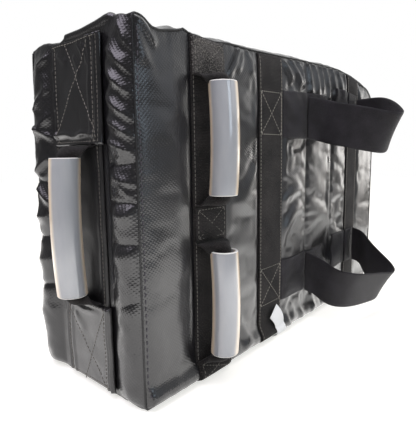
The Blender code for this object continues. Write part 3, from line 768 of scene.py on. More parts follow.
def add_floor():
    """A sheet of pale paper on a pale floor: it keeps the shadow and shows in the gloss.

    In gloss it is dimmer at the foot of the gripped end, a painted shadow seen in its reflection,
    and past the paper the bare floor is darker.
    """
    material, tree, shader, place = new_material("white_paper")
    seen, glossy = seen_rays(tree)
    away = add_node(tree, "ShaderNodeVectorMath", {0: place.outputs["Object"]}, operation="LENGTH")
    near = add_node(
        tree, "ShaderNodeMapRange",
        {"Value": away.outputs["Value"], "From Min": PAPER[0], "From Max": PAPER[1],
         "To Min": 1.0, "To Max": 0.0},
        interpolation_type="SMOOTHSTEP",
    )
    foot = add_node(
        tree, "ShaderNodeVectorMath", {0: place.outputs["Object"], 1: FOOT}, operation="DISTANCE"
    )
    # Painted shadow: in gloss the paper glows dimmer near the foot and brighter away from it
    painted_foot_shadow = add_node(
        tree, "ShaderNodeMapRange",
        {"Value": foot.outputs["Value"], "From Min": PAINTED_SHADOW_FADE[0], "From Max": PAINTED_SHADOW_FADE[1],
         "To Min": FLOOR_LIFT, "To Max": OPEN_LIFT},
        interpolation_type="SMOOTHSTEP",
    )
    level = add_node(
        tree, "ShaderNodeMath", {0: near.outputs[0], 1: painted_foot_shadow.outputs[0]}, operation="MULTIPLY"
    )
    gloss = add_node(tree, "ShaderNodeMath", {0: glossy, 1: level.outputs[0]}, operation="MULTIPLY")
    plain = add_node(tree, "ShaderNodeMath", {0: seen, 1: FLOOR_LIFT}, operation="MULTIPLY")
    lift = add_node(
        tree, "ShaderNodeMath", {0: plain.outputs[0], 1: gloss.outputs[0]}, operation="MAXIMUM"
    )
    grain = add_node(
        tree, "ShaderNodeTexNoise", {"Vector": place.outputs["Object"], "Scale": 3.0, "Detail": 2.0}
    )
    tint = add_node(
        tree, "ShaderNodeMix",
        {"Factor": grain.outputs["Fac"], 6: linear("#dcdbd6"), 7: linear("#e2e1dc")},
        data_type="RGBA",
    )
    past = add_node(
        tree, "ShaderNodeMapRange",
        {"Value": foot.outputs["Value"], "From Min": BARE_FLOOR[0], "From Max": BARE_FLOOR[1]},
        interpolation_type="SMOOTHSTEP",
    )
    bare = add_node(tree, "ShaderNodeMath", {0: glossy, 1: past.outputs[0]}, operation="MULTIPLY")
    tint = add_node(
        tree, "ShaderNodeMix",
        {"Factor": bare.outputs[0], 6: tint.outputs[2], 7: linear("#6f6d69")},
        data_type="RGBA",
    )
    set_inputs(tree, shader, {
        "Base Color": tint.outputs[2], "Roughness": 0.9, "Specular IOR Level": 0.0,
        "Emission Color": (1, 0.99, 0.96, 1), "Emission Strength": lift.outputs[0],
    })
    half = FLOOR_SIZE / 2
    places = ((-half, -half), (half, -half), (half, half), (-half, half))
    square = [(x, y, -FLOOR_DROP) for x, y in places]
    floor = add_piece("floor", square, [np.array([[0, 1, 2, 3]])], material, None, smooth=False)


def add_world():
    """A white backdrop behind and beside the object; in gloss, the room in front is dimmer."""
    world = bpy.data.worlds.new("studio")
    world.use_nodes = True
    bpy.context.scene.world = world
    tree = world.node_tree
    seen, glossy = seen_rays(tree)
    place = add_node(tree, "ShaderNodeTexCoord")
    aim = (math.cos(BACKDROP_AIM), math.sin(BACKDROP_AIM), 0.0)
    facing = add_node(
        tree, "ShaderNodeVectorMath", {0: place.outputs["Generated"], 1: aim},
        operation="DOT_PRODUCT",
    )
    sweep = add_node(
        tree, "ShaderNodeMapRange",
        {"Value": facing.outputs["Value"], "From Min": BACKDROP_SWEEP[0],
         "From Max": BACKDROP_SWEEP[1], "To Min": ROOM, "To Max": 1.0},
        interpolation_type="SMOOTHSTEP",
    )
    room = add_node(
        tree, "ShaderNodeMix", {"Factor": glossy, 2: AMBIENT, 3: sweep.outputs[0]},
        data_type="FLOAT",
    )
    level = add_node(
        tree, "ShaderNodeMix", {"Factor": seen, 2: room.outputs[0], 3: 1.0}, data_type="FLOAT"
    )
    set_inputs(
        tree, tree.nodes["Background"], {"Color": (1, 1, 1, 1), "Strength": level.outputs[0]}
    )


# Soft lamps: place, what each looks at, side in metres, brightness of its face and its colour
LAMPS = (
    ("overhead", (0.10, -0.35, 2.30), (0.0, 0.0, 0.2), 1.5, 2.2, "#ffffff"),
    ("key", (-1.12, 0.04, 2.01), (-0.29, -0.06, 0.28), 1.6, 2.9, "#f6eeff"),
    ("front", (0.69, -1.66, 1.05), (-0.25, -0.09, 0.28), 0.95, 0.95, "#f1f6ff"),
    ("window", (-0.41, -2.25, 0.78), (-0.30, -0.10, 0.28), 0.8, 2.7, "#dceeff"),
    ("far_side", (2.35, -0.62, 0.35), (0.25, -0.09, 0.20), 0.7, 2.9, "#fffaf4"),
)


def add_lamps():
    """Square lamps; one of side s whose face has radiance r gives pi r s squared watts."""
    for name, place, aim, size, radiance, colour in LAMPS:
        data = bpy.data.lights.new(name, "AREA")
        data.shape = "SQUARE"
        data.size = size
        data.energy = math.pi * radiance * size**2
        data.color = linear(colour)[:3]
        lamp = bpy.data.objects.new(name, data)
        look = unit(np.array(aim) - np.array(place))
        side = unit(np.cross(look, (0.0, 0.0, 1.0)))
        put_looking(lamp, place, side, np.cross(side, look), look)


# The cover's outline, seen along Y
def corner_inset(height, radius):
    """How far a quarter circle stands in from the end at a height."""
    down = np.clip(radius - np.minimum(height, WIDTH - height), 0, radius)
    return radius - np.sqrt(radius**2 - down**2)


def quartic(share):
    """1 halfway along and 0 at both ends, nearly level between them."""
    return 1 - np.abs(2 * share - 1) ** 4


PANEL_STEP = 0.0032
# How far along the struck face its seam's bow at the gripped end fades out
BOW_FADE = 0.06
# Rows are squeezed between the rounded outline and these places along the shield
NEAR_ZONE = 0.030
TAIL_START = BANDS[2][1]
ROWS = spaced((0, 0.03, 0.0015), (0.03, 0.31, 0.0026), (0.31, WIDTH, 0.0017))
COLUMNS = spaced(
    (0, 0.03, 0.0015), (0.03, 0.28, 0.0026), (0.28, 0.47, 0.0028), (0.47, LENGTH, 0.003)
)


def face_x(along, height):
    """Along the shield to X: the ends of a row follow the rounded outline, the middle is true."""
    near = SEAM_INSET + corner_inset(height, NEAR_RADIUS)
    far = LENGTH - SEAM_INSET - corner_inset(height, FAR_RADIUS)
    start = near + along * (NEAR_ZONE - near) / NEAR_ZONE
    tail = TAIL_START + (along - TAIL_START) * (far - TAIL_START) / (LENGTH - TAIL_START)
    x = np.where(along < NEAR_ZONE, start, np.where(along > TAIL_START, tail, along))
    return NEAR_END + x


# The upper seams' rise fades out this far down both faces
TOP_FADE = 0.10
# How far the upper seams rise over the frame's edge: along the shield, and across its gripped end
UPPER_RISE = (
    (0.0, 0.0038), (0.010, 0.0022), (0.023, -0.004), (0.033, -0.005), (0.058, 0.0), (0.0645, 0.003),
    (0.073, 0.0), (0.111, -0.001), (0.133, 0.002), (0.185, 0.003), (0.254, 0.007), (0.294, 0.0095),
    (0.354, 0.0125), (0.420, 0.0145), (0.470, 0.011), (0.510, 0.005), (0.532, 0.0), (0.590, 0.0),
)
END_TOP_RISE = (
    (-0.090, 0.0038), (-0.078, 0.003), (-0.061, 0.0062), (-0.036, 0.0030), (-0.010, 0.0008),
    (0.024, 0.0006), (0.032, -0.0018), (0.064, 0.0018), (0.090, -0.001),
)


def top_rise(along, depth):
    """Rise of the top: the end's own beside it, then the seams', less on the struck side."""
    onward = bump_between(along, 0.004, 0.024)
    share = 0.75 - 0.25 * depth / HALF_DEPTH
    seams = onward * share * read_between(UPPER_RISE, along)
    return seams + (1 - onward) * read_between(END_TOP_RISE, depth)


def face_z(along, height, depth):
    """Height to Z: the seams lie a little in from the sides, and the upper one rises and falls."""
    z = SEAM_INSET + height * (WIDTH - 2 * SEAM_INSET) / WIDTH
    return z + top_rise(along, depth) * bump_between(height, WIDTH - TOP_FADE, WIDTH)


def edge_distance(along, height):
    """Distance to the nearest edge of the face."""
    near = along - corner_inset(height, NEAR_RADIUS)
    far = LENGTH - corner_inset(height, FAR_RADIUS) - along
    sides = np.minimum(height, WIDTH - height)
    return np.clip(np.minimum(np.minimum(near, far), sides), 0, None)


# Folds of the user's face: the line each follows, its height and its half width
FACE_FOLDS = (
    (((0.002, 0.367), (0.016, 0.359), (0.030, 0.353)), 0.0030, 0.006),
    (((0.001, 0.358), (0.006, 0.345), (0.014, 0.325)), 0.0022, 0.006),
    (((0.152, 0.366), (0.141, 0.348), (0.127, 0.328)), 0.0030, 0.005),
    (((0.160, 0.366), (0.153, 0.350), (0.143, 0.338)), 0.0022, 0.004),
    (((0.168, 0.368), (0.173, 0.355), (0.176, 0.335)), 0.0020, 0.005),
    (((0.180, 0.232), (0.162, 0.207), (0.146, 0.176)), 0.0025, 0.012),
    (((0.150, 0.045), (0.160, 0.028), (0.170, 0.006)), 0.0025, 0.008),
    (((0.243, 0.185), (0.271, 0.197), (0.302, 0.203)), 0.0035, 0.008),
    (((0.243, 0.135), (0.266, 0.166), (0.302, 0.181)), 0.0032, 0.009),
    (((0.243, 0.367), (0.261, 0.353), (0.272, 0.335)), 0.0040, 0.006),
    (((0.268, 0.368), (0.283, 0.350), (0.296, 0.332)), 0.0032, 0.005),
    (((0.288, 0.368), (0.296, 0.350), (0.302, 0.330)), 0.0028, 0.004),
    (((0.314, 0.368), (0.317, 0.348), (0.320, 0.322)), 0.0036, 0.005),
    (((0.333, 0.368), (0.338, 0.346), (0.342, 0.320)), 0.0036, 0.005),
    (((0.352, 0.368), (0.356, 0.348), (0.358, 0.326)), 0.0030, 0.004),
    (((0.370, 0.368), (0.374, 0.344), (0.377, 0.316)), 0.0036, 0.005),
    (((0.392, 0.368), (0.398, 0.346), (0.404, 0.318)), 0.0040, 0.006),
    (((0.414, 0.368), (0.424, 0.346), (0.434, 0.322)), 0.0036, 0.006),
    (((0.440, 0.367), (0.448, 0.350), (0.453, 0.330)), 0.0028, 0.006),
    (((0.470, 0.366), (0.486, 0.346), (0.494, 0.318)), 0.0034, 0.007),
    (((0.500, 0.360), (0.512, 0.336), (0.516, 0.300)), 0.0030, 0.008),
    (((0.262, 0.002), (0.256, 0.020), (0.250, 0.042)), 0.0018, 0.007),
    (((0.300, 0.002), (0.296, 0.022), (0.292, 0.046)), 0.0018, 0.007),
    (((0.330, 0.002), (0.333, 0.020), (0.334, 0.044)), 0.0018, 0.007),
)
# Two seams down the user's face, between the loop bands
FACE_SEAMS = (0.311, 0.393)
# The share of its cloth's movement that is kept, along the face: taut by the gripped end
FACE_LOOSENESS = (
    (0.06, 0.16), (0.15, 0.45), (0.21, 0.5), (0.27, 0.85), (0.42, 0.8), (0.52, 0.35),
)


def rolled_in(edge):
    """How far a panel stands in at a distance from its seam."""
    return SEAM_INSET * np.exp(-((edge / SEAM_ROLL) ** 1.4))


def face_relief(along, height):
    """Stand-off of the user's face from its seam plane.

    A crown that is full over the middle, drawn in level under each sewn band, rolled back at the
    outline, with puckers along the seams, the listed folds and soft unevenness between seams.
    """
    relief = BACK_CROWN * quartic(along / LENGTH) * quartic(height / WIDTH)
    free = np.ones_like(relief)
    for low, high in BANDS:
        outside = np.maximum(low - along, along - high)
        draw = 1 - bump_between(outside, 0.0, 0.010)
        relief -= BAND_DRAW * draw * quartic(height / WIDTH)
        free *= bump_between(outside, 0.0, 0.012)
    for seam in FACE_SEAMS:
        off = np.abs(along - seam)
        inside = bump_between(height, 0.01, 0.05) * (1 - bump_between(height, 0.31, 0.35))
        relief -= 0.0016 * bell(off, 0.0, 0.0022) * inside
        free *= 1 - 0.85 * bell(off, 0.0, 0.006) * inside
    edge = edge_distance(along, height)
    relief -= rolled_in(edge)
    relief += 0.0080 * bell(height, 0.009, 0.011) * bump_between(edge, 0.0, 0.005)
    pillow = (1 - np.exp(-along / 0.014)) * (1 - bump_between(along, 0.040, BANDS[0][0]))
    relief += 0.0050 * pillow * quartic(height / WIDTH)
    loose = free * bump_between(edge, 0.0, 0.010)
    for line, rise, width in FACE_FOLDS:
        relief += free * bump_between(edge, 0.0, 0.004) * fold(along, height, line, rise, width)
    relief += loose * 0.0009 * soft_noise(along / 0.042 + 3, height / 0.050, 11)
    relief += loose * 0.0005 * soft_noise(along / 0.017, height / 0.023 + 5, 12)
    top = gathers(along, WIDTH - height, 0.013, 0.016, 0.0022, 21)
    bottom = gathers(along, height, 0.015, 0.012, 0.0007, 23)
    side = gathers(height, along - corner_inset(height, NEAR_RADIUS), 0.0062, 0.005, 0.0009, 25)
    relief += free * (top + bottom) * bump_between(edge, 0.0, 0.003) + side
    return relief


def face_held(height, along):
    """Where the user's face is sewn down: its outline, the bands and its two inner seams."""
    held = edge_distance(along, height) < CLOTH_STEP / 2
    for low, high in BANDS:
        held |= (along > low - CLOTH_STEP / 2) & (along < high + CLOTH_STEP / 2)
    for seam in FACE_SEAMS:
        held |= np.abs(along - seam) < CLOTH_STEP / 2
    return held


FACE_ALONG, FACE_UP = np.meshgrid(COLUMNS, ROWS)
FACE_RELIEF = face_relief(FACE_ALONG, FACE_UP)


def settle_face():
    """The face's cloth settles before anything is laid on it."""
    global FACE_RELIEF
    out = np.zeros(FACE_RELIEF.shape + (3,))
    out[..., 1] = -1.0
    front = on_face(FACE_ALONG, FACE_UP, 0.0)
    stand = settled(front, ROWS, COLUMNS, out, face_held, *FACE_CLOTH)
    FACE_RELIEF = FACE_RELIEF + read_between(FACE_LOOSENESS, FACE_ALONG) * stand


def on_face(along, height, lift):
    """Points at a stand-off from the surface of the user's face."""
    along, height = np.broadcast_arrays(np.asarray(along, float), np.asarray(height, float))
    relief = sample(FACE_RELIEF, ROWS, COLUMNS, height, along)
    z = face_z(along, height, -HALF_DEPTH)
    return np.stack([face_x(along, height), BACK_PLANE - relief - lift, z], axis=-1)


def add_user_face():
    """The panel under the grips and loops; its uv gives its own places in metres."""
    settle_face()
    front = on_face(FACE_ALONG, FACE_UP, 0.0)
    back = front + (0.0, VINYL, 0.0)
    uv = np.stack([FACE_ALONG, FACE_UP], axis=-1)
    piece = add_sheet_piece("cover_user_face", front, back, COVER, "shield", uv)
    finish_cover("back_panel")


def finish_cover(node):
    """Hides the frame's panel that a piece of the cover stands for."""
    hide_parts(node)


def strike_relief(along, height):
    """Stand-off of the struck face: a wider crown, rolled and puckered at its outline."""
    relief = STRIKE_CROWN * quartic(along / LENGTH) * quartic(height / WIDTH)
    edge = edge_distance(along, height)
    relief -= rolled_in(edge)
    loose = bump_between(edge, 0.0, 0.012)
    relief += loose * 0.0016 * soft_noise(along / 0.075 + 9, height / 0.062, 31)
    relief += loose * 0.0006 * soft_noise(along / 0.024, height / 0.030, 32)
    for away, seed in ((WIDTH - height, 33), (height, 34)):
        relief += gathers(along, away, 0.014, 0.016, 0.0018, seed) * bump_between(edge, 0, 0.003)
    for away, seed in ((along, 35), (LENGTH - along, 36)):
        relief += gathers(height, away, 0.013, 0.014, 0.0016, seed) * bump_between(edge, 0, 0.003)
    return relief


def struck_held(height, along):
    """The struck face is sewn down at its outline only."""
    return edge_distance(along, height) < CLOTH_STEP / 2


def add_strike_face():
    """The panel that takes the blows: plain, without seams between its edges."""
    columns = spaced((0, LENGTH, PANEL_STEP))
    rows = spaced((0, WIDTH, PANEL_STEP))
    along, up = np.meshgrid(columns, rows)
    relief = strike_relief(along, up)
    x = face_x(along, up) - seam_bow(up) * (1 - bump_between(along, 0.0, BOW_FADE))
    front = np.stack([x, HALF_DEPTH + relief, face_z(along, up, HALF_DEPTH)], axis=-1)
    out = np.zeros(front.shape)
    out[..., 1] = 1.0
    front[..., 1] += settled(front, rows, columns, out, struck_held, *STRUCK_CLOTH)
    uv = np.stack([along, up], axis=-1)
    piece = add_sheet_piece("cover_struck_face", front, front - (0, VINYL, 0), COVER, "shield", uv)
    finish_cover("strike_panel")


# Side panels: a path in X and Z, spread through the thickness and bulged outwards
SIDE_REACH = HALF_DEPTH - SEAM_INSET
LEVEL_MIDDLE = 0.022


def seam_roll(depth):
    """How far a side panel stands in near the two faces."""
    return rolled_in(np.clip(SIDE_REACH - np.abs(depth), 0, None))


def depth_shape(depth, flat):
    """1 over the level middle of a side panel, falling to 0 at both of its seams."""
    beyond = np.clip((np.abs(depth) - flat) / (SIDE_REACH - flat), 0, 1)
    return 1 - beyond**2


def round_path(end, radius, facing, step):
    """Path up an end: a quarter circle, a straight and a quarter circle, with outward normals."""
    turn = np.linspace(0, math.pi / 2, max(8, round(radius * math.pi / 2 / step)))
    centre = end - facing * radius
    low = np.stack([centre + facing * radius * np.sin(turn), radius * (1 - np.cos(turn))], 1)
    low_out = np.stack([facing * np.sin(turn), -np.cos(turn)], 1)
    count = round((WIDTH - 2 * radius) / step)
    straight = np.linspace(radius, WIDTH - radius, count + 1)[1:-1]
    middle = np.stack([np.full_like(straight, end), straight], 1)
    middle_out = np.tile((float(facing), 0.0), (len(straight), 1))
    high = low[::-1] * (1, -1) + (0, WIDTH)
    return (
        np.concatenate([low, middle, high]),
        np.concatenate([low_out, middle_out, low_out[::-1] * (1, -1)]),
    )


def add_side_panel(name, node, path, out, depths, relief, rise=0.0, held=None, loose=1.0):
    """A panel whose points stand off the path along its normals by relief, and rise in Z by rise.

    relief and rise are given for each point of the path and each depth. held says where the
    cloth is sewn down, by the run along the path and the depth; without it nothing settles.
    loose is the share of the cloth's own movement that is kept.
    """
    run = run_along(path)
    stand = relief - seam_roll(depths)[None, :]
    away = np.zeros((len(path), len(depths), 3))
    away[..., ::2] = out[:, None, :]
    front = away * stand[..., None]
    front[..., ::2] += path[:, None, :]
    front[..., 1] = depths
    front[..., 2] += rise
    if held is not None:
        moved = settled(front, run, depths, away, held, *SIDE_CLOTH)
        front += away * (loose * moved)[..., None]
    uv = sheet_uv(depths, run)
    piece = add_sheet_piece(name, front, front - VINYL * away, COVER, "shield", uv)
    finish_cover(node)


# Folds of the gripped end, each from the strip or a patch out to the seam: (depth, height)
END_FOLDS = (
    (((-0.062, 0.368), (-0.076, 0.358), (-0.086, 0.343)), 0.0035, 0.0045),
    (((-0.050, 0.352), (-0.070, 0.338), (-0.088, 0.321)), 0.0048, 0.0052),
    (((-0.050, 0.332), (-0.070, 0.318), (-0.088, 0.303)), 0.0052, 0.0052),
    (((-0.050, 0.307), (-0.070, 0.295), (-0.088, 0.282)), 0.0052, 0.0050),
    (((-0.050, 0.286), (-0.070, 0.277), (-0.088, 0.266)), 0.0046, 0.0044),
    (((-0.050, 0.266), (-0.070, 0.259), (-0.088, 0.252)), 0.0044, 0.0048),
    (((-0.052, 0.230), (-0.070, 0.229), (-0.088, 0.223)), 0.0034, 0.0060),
    (((-0.066, 0.226), (-0.078, 0.217), (-0.088, 0.206)), 0.0030, 0.0026),
    (((-0.052, 0.196), (-0.070, 0.194), (-0.088, 0.196)), 0.0046, 0.0110),
    (((-0.052, 0.158), (-0.070, 0.156), (-0.088, 0.157)), 0.0046, 0.0190),
    (((-0.056, 0.098), (-0.070, 0.096), (-0.088, 0.098)), 0.0022, 0.0220),
    (((0.028, 0.366), (0.046, 0.360), (0.064, 0.349)), 0.0040, 0.0055),
    (((0.036, 0.334), (0.052, 0.322), (0.072, 0.302)), 0.0040, 0.0060),
    (((0.036, 0.306), (0.050, 0.294), (0.070, 0.276)), 0.0040, 0.0055),
    (((0.034, 0.262), (0.050, 0.270), (0.070, 0.282)), 0.0048, 0.0034),
    (((0.044, 0.252), (0.058, 0.246), (0.076, 0.234)), 0.0036, 0.0060),
    (((0.044, 0.190), (0.056, 0.201), (0.072, 0.214)), 0.0044, 0.0040),
    (((0.046, 0.184), (0.058, 0.183), (0.080, 0.182)), 0.0040, 0.0080),
    (((0.046, 0.134), (0.058, 0.133), (0.080, 0.132)), 0.0044, 0.0130),
    (((0.046, 0.076), (0.058, 0.074), (0.080, 0.070)), 0.0034, 0.0150),
)
END_DIPS = (
    (((-0.048, 0.244), (-0.068, 0.241), (-0.088, 0.243)), -0.0040, 0.0042),
    (((-0.048, 0.207), (-0.068, 0.206), (-0.088, 0.206)), -0.0036, 0.0036),
    (((-0.048, 0.169), (-0.068, 0.167), (-0.088, 0.167)), -0.0036, 0.0048),
    (((-0.050, 0.154), (-0.059, 0.139), (-0.051, 0.120)), -0.0030, 0.0030),
    (((-0.054, 0.103), (-0.070, 0.107), (-0.088, 0.114)), -0.0018, 0.0040),
    (((0.040, 0.222), (0.056, 0.222), (0.080, 0.224)), -0.0040, 0.0055),
    (((0.044, 0.161), (0.056, 0.160), (0.080, 0.158)), -0.0044, 0.0055),
    (((0.044, 0.107), (0.056, 0.105), (0.080, 0.102)), -0.0036, 0.0040),
)
TOP_ROLL = ((0.018, 0.3690), (-0.024, 0.3695), (-0.064, 0.3690))

# Where the seam of the struck side stands beyond the gripped end: height and stand-off
SEAM_BOW = (
    (0.0, 0.0), (0.0015, 0.0003), (0.006, 0.0042), (0.045, 0.0055), (0.08, 0.0056), (0.15, 0.0036),
    (0.20, 0.0036), (0.27, 0.0025), (0.34, 0.0023), (0.37, 0.0012),
)


# Humps of the gripped end between its level middle and each long seam
USER_HUMP = 0.0062
STRUCK_HUMP = 0.0085


def seam_bow(height):
    """How far the struck side's seam stands beyond the gripped end at a height."""
    return read_between(SEAM_BOW, height)


def end_bulge(depth):
    """Level where the strip draws the end in, with a hump between it and each long seam.

    The hump rises as a power of the way out and falls as a quarter wave, fullest near the seam.
    """
    beyond = np.clip((np.abs(depth) - END_LEVEL) / (SIDE_REACH - END_LEVEL), 0, 1)
    hump = np.where(depth < 0, USER_HUMP, STRUCK_HUMP)
    return END_DRAWN * (1 - beyond) + hump * np.abs(np.sin(math.pi * beyond**1.05)) ** 0.8


def end_rise(height):
    """Share of the bulge at a height: none at the two corners, and full down to the lower one."""
    from_corner = np.clip(np.abs(2 * height - WIDTH) / (WIDTH - 2 * NEAR_RADIUS), 0, 1)
    return 1 - from_corner ** np.where(height < WIDTH / 2, 36.0, 5.0)


def end_relief(depth, height):
    """Stand-off of the gripped end: its bulge, the listed folds and puckers at both long seams."""
    relief = end_rise(height) * end_bulge(depth)
    relief += bump_between(depth, 0.030, SIDE_REACH) * seam_bow(height)
    edge = SIDE_REACH - np.abs(depth)
    beside = bump_between(np.abs(depth), END_LEVEL - 0.004, END_LEVEL + 0.006)
    hold = bump_between(edge, 0.0, 0.007)
    for line, rise, width in END_FOLDS + END_DIPS:
        crease = fold(depth, height, line[::-1], 0.90 * rise, 1.25 * width, tail=0.38, crisp=True)
        relief += beside * (0.2 + 0.8 * hold) * crease
    relief += fold(depth, height, TOP_ROLL, 0.0036, 0.0030, tail=0.1)
    upper = bump_between(height, 0.10, 0.22)
    relief += gathers(height, edge, 0.0062, 0.006, 0.0014, 41) * (0.3 + 0.7 * upper)
    relief += beside * hold * 0.0008 * soft_noise(depth / 0.018, height / 0.020, 42)
    relief += beside * hold * 0.0004 * soft_noise(depth / 0.008, height / 0.009, 43)
    return relief


def seams_held(run, depth):
    """A side panel is sewn along its two long seams and across its first end."""
    return (SIDE_REACH - np.abs(depth) < CLOTH_STEP / 2) | (run < CLOTH_STEP / 2)


def gripped_end_held(run, depth):
    """The end is sewn at its seams and all over its level middle, and held along its top."""
    return seams_held(run, depth) | (np.abs(depth) < END_LEVEL + 0.001) | (run > WIDTH - 0.012)


def add_sides():
    """The gripped end, the far end round both its corners, and the upper and lower sides."""
    path, out = round_path(NEAR_END, NEAR_RADIUS, -1, 0.0017)
    depths = spaced((-SIDE_REACH, -0.04, 0.0013), (-0.04, 0.04, 0.004), (0.04, SIDE_REACH, 0.0016))
    depth, height = np.meshgrid(depths, path[:, 1])
    lift = top_rise(0 * depth, depth) * bump_between(height, WIDTH - 0.022, WIDTH)
    relief = end_relief(depth, height)
    loose = 0.12 + 0.38 * bump_between(height, 0.14, 0.24)
    add_side_panel(
        "cover_gripped_end", "near_end_panel", path, out, depths, relief, lift,
        gripped_end_held, loose,
    )

    path, out = round_path(FAR_END, FAR_RADIUS, 1, 0.0035)
    depths = spaced((-SIDE_REACH, SIDE_REACH, PANEL_STEP))
    depth, height = np.meshgrid(depths, path[:, 1])
    from_corner = np.clip(np.abs(2 * height - WIDTH) / (WIDTH - 2 * FAR_RADIUS), 0, 1)
    relief = FAR_BULGE * (1 - from_corner**4) * depth_shape(depth, LEVEL_MIDDLE)
    edge = SIDE_REACH - np.abs(depth)
    run = run_along(path)[:, None] + 0 * depth
    above = bump_between(height, 0.004, 0.03)
    relief += above * gathers(run, edge, 0.013, 0.014, 0.0016, 51)
    dents = 0.0012 * soft_noise(run / 0.05, depth / 0.05, 52)
    relief += above * bump_between(edge, 0, 0.01) * dents
    add_side_panel("cover_far_end", "far_end_panel", path, out, depths, relief, held=seams_held)

    start = NEAR_END + NEAR_RADIUS + GAP
    stop = FAR_END - FAR_RADIUS - GAP
    x = spaced((start, stop, 0.0035))
    depth, along = np.meshgrid(depths, x)
    edge = SIDE_REACH - np.abs(depth)
    share = (along - start) / (stop - start)
    relief = UPPER_BULGE * quartic(share) * depth_shape(depth, LEVEL_MIDDLE)
    relief += gathers(along, edge, 0.013, 0.018, 0.0022, 61)
    relief += bump_between(edge, 0, 0.01) * 0.0014 * soft_noise(along / 0.05, depth / 0.045, 62)
    path = np.stack([x, np.full_like(x, WIDTH)], 1)
    lift = top_rise(along - NEAR_END, depth)
    upright = np.tile((0.0, 1.0), (len(x), 1))
    add_side_panel(
        "cover_upper_side", "upper_side_panel", path, upright, depths, relief, lift, seams_held
    )
    path = np.stack([x, np.zeros_like(x)], 1)
    add_side_panel("cover_lower_side", "lower_side_panel", path, -upright, depths, 0 * relief)


# Foam slabs, hidden in the cover
FOAMS = (
    ("back_foam", "foam_user_side"),
    ("core_foam", "foam_core"),
    ("strike_foam", "foam_struck_side"),
)
FOAM_CLEAR = 0.007
FOAM_COVER = 0.006
FOAM_OUTLINE = 0.16
FOAM_EDGE = 0.3
FOAM_SIDES = 96
FOAM_RINGS = 17


def powered(wave, power):
    """A wave with its size raised to a power and its sign kept."""
    return np.sign(wave) * np.abs(wave) ** power


def add_foams():
    """Three slabs, each a ball drawn out to a rounded box by small powers of sine and cosine."""
    turn = np.linspace(0, 2 * math.pi, FOAM_SIDES, endpoint=False)
    rise = np.linspace(-math.pi / 2, math.pi / 2, FOAM_RINGS)[1:-1]
    scale = np.cos(rise)[:, None] ** FOAM_OUTLINE
    rings = np.empty((len(rise), FOAM_SIDES, 3))
    rings[..., 0] = scale * powered(np.cos(turn), FOAM_OUTLINE)
    rings[..., 1] = powered(np.sin(rise), FOAM_EDGE)[:, None]
    rings[..., 2] = scale * powered(np.sin(turn), FOAM_OUTLINE)
    ball = np.concatenate([rings.reshape(-1, 3), [(0, -1, 0), (0, 1, 0)]])
    ids = np.arange(FOAM_SIDES)
    after = np.roll(ids, -1)
    pole = len(ball) - 2
    top = pole - FOAM_SIDES
    faces = [
        grid_faces(len(rise), FOAM_SIDES, wrap_columns=True),
        np.stack([np.full(FOAM_SIDES, pole), after, ids], axis=1),
        np.stack([np.full(FOAM_SIDES, pole + 1), ids + top, after + top], axis=1),
    ]
    low = NEAR_END + FOAM_CLEAR
    high = FAR_END - FOAM_CLEAR
    for node, name in FOAMS:
        box_low, box_high = corners(node)
        y0 = max(box_low[1], BACK_PLANE + FOAM_COVER)
        y1 = min(box_high[1], HALF_DEPTH - FOAM_COVER)
        centre = np.array([(low + high) / 2, (y0 + y1) / 2, WIDTH / 2])
        half = np.array([(high - low) / 2, (y1 - y0) / 2, WIDTH / 2 - FOAM_CLEAR])
        piece = add_piece(name, centre + half * ball, faces, FOAM, "shield")
        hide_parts(node)


# Webbing laid over the user's face
# Where a layer has its columns of points, as shares of its width
LAYER_STOPS = (
    0.0, 0.012, 0.04, 0.12, 0.22, 0.34, 0.45, 0.55, 0.66, 0.78, 0.88, 0.96, 0.988, 1.0,
)
FACE_BANDS = (
    ("band_under_grips", "grip_band", THREAD),
    ("band_loops_near", "loop_band_near", PALE_THREAD),
    ("band_loops_far", "loop_band_far", PALE_THREAD),
)
ANCHORS = (("upper", NAPPED), ("middle", BAND), ("lower", BAND))


def face_span(node):
    """A node's stretch along the user's face and up it."""
    low, high = corners(node)
    return (low[0] - NEAR_END, high[0] - NEAR_END), (low[2], high[2])


def add_face_layer(name, node, under, thick, material, ripple=0.0, seed=0):
    """A sewn strip over the face with softly rounded edges, riding on what lies under it."""
    span, heights = face_span(node)
    across = span[0] + (span[1] - span[0]) * np.array(LAYER_STOPS)
    count = max(6, round((heights[1] - heights[0]) / 0.0025))
    up = np.linspace(heights[0], heights[1], count)
    along, height = np.meshgrid(across, up)
    share = (along - span[0]) / (span[1] - span[0])
    edge = np.minimum(share, 1 - share) * (span[1] - span[0])
    rounded = thick * rounded_edge(edge, 0.6 * thick, 0.12)
    wave = ripple * soft_noise(height / 0.021, along / 0.03, seed) * np.sin(math.pi * share)
    front = on_face(along, height, under + GAP + rounded + np.abs(wave))
    back = on_face(along, height, under + GAP)
    uv = np.stack([along, height], axis=-1)
    piece = add_sheet_piece(name, front, back, material, "shield", uv)
    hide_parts(node)


def add_bands():
    """The three bands across the face, and the second layers that anchor the grips."""
    for name, node, _ in FACE_BANDS:
        add_face_layer(name, node, 0.0, WEBBING, BAND, 0.0004, 71)
    over = GAP + WEBBING
    for part, cloth in ANCHORS:
        name, node = f"anchor_{part}", f"grip_anchor_{part}"
        add_face_layer(name, node, over, WEBBING, cloth, 0.0006, 72)


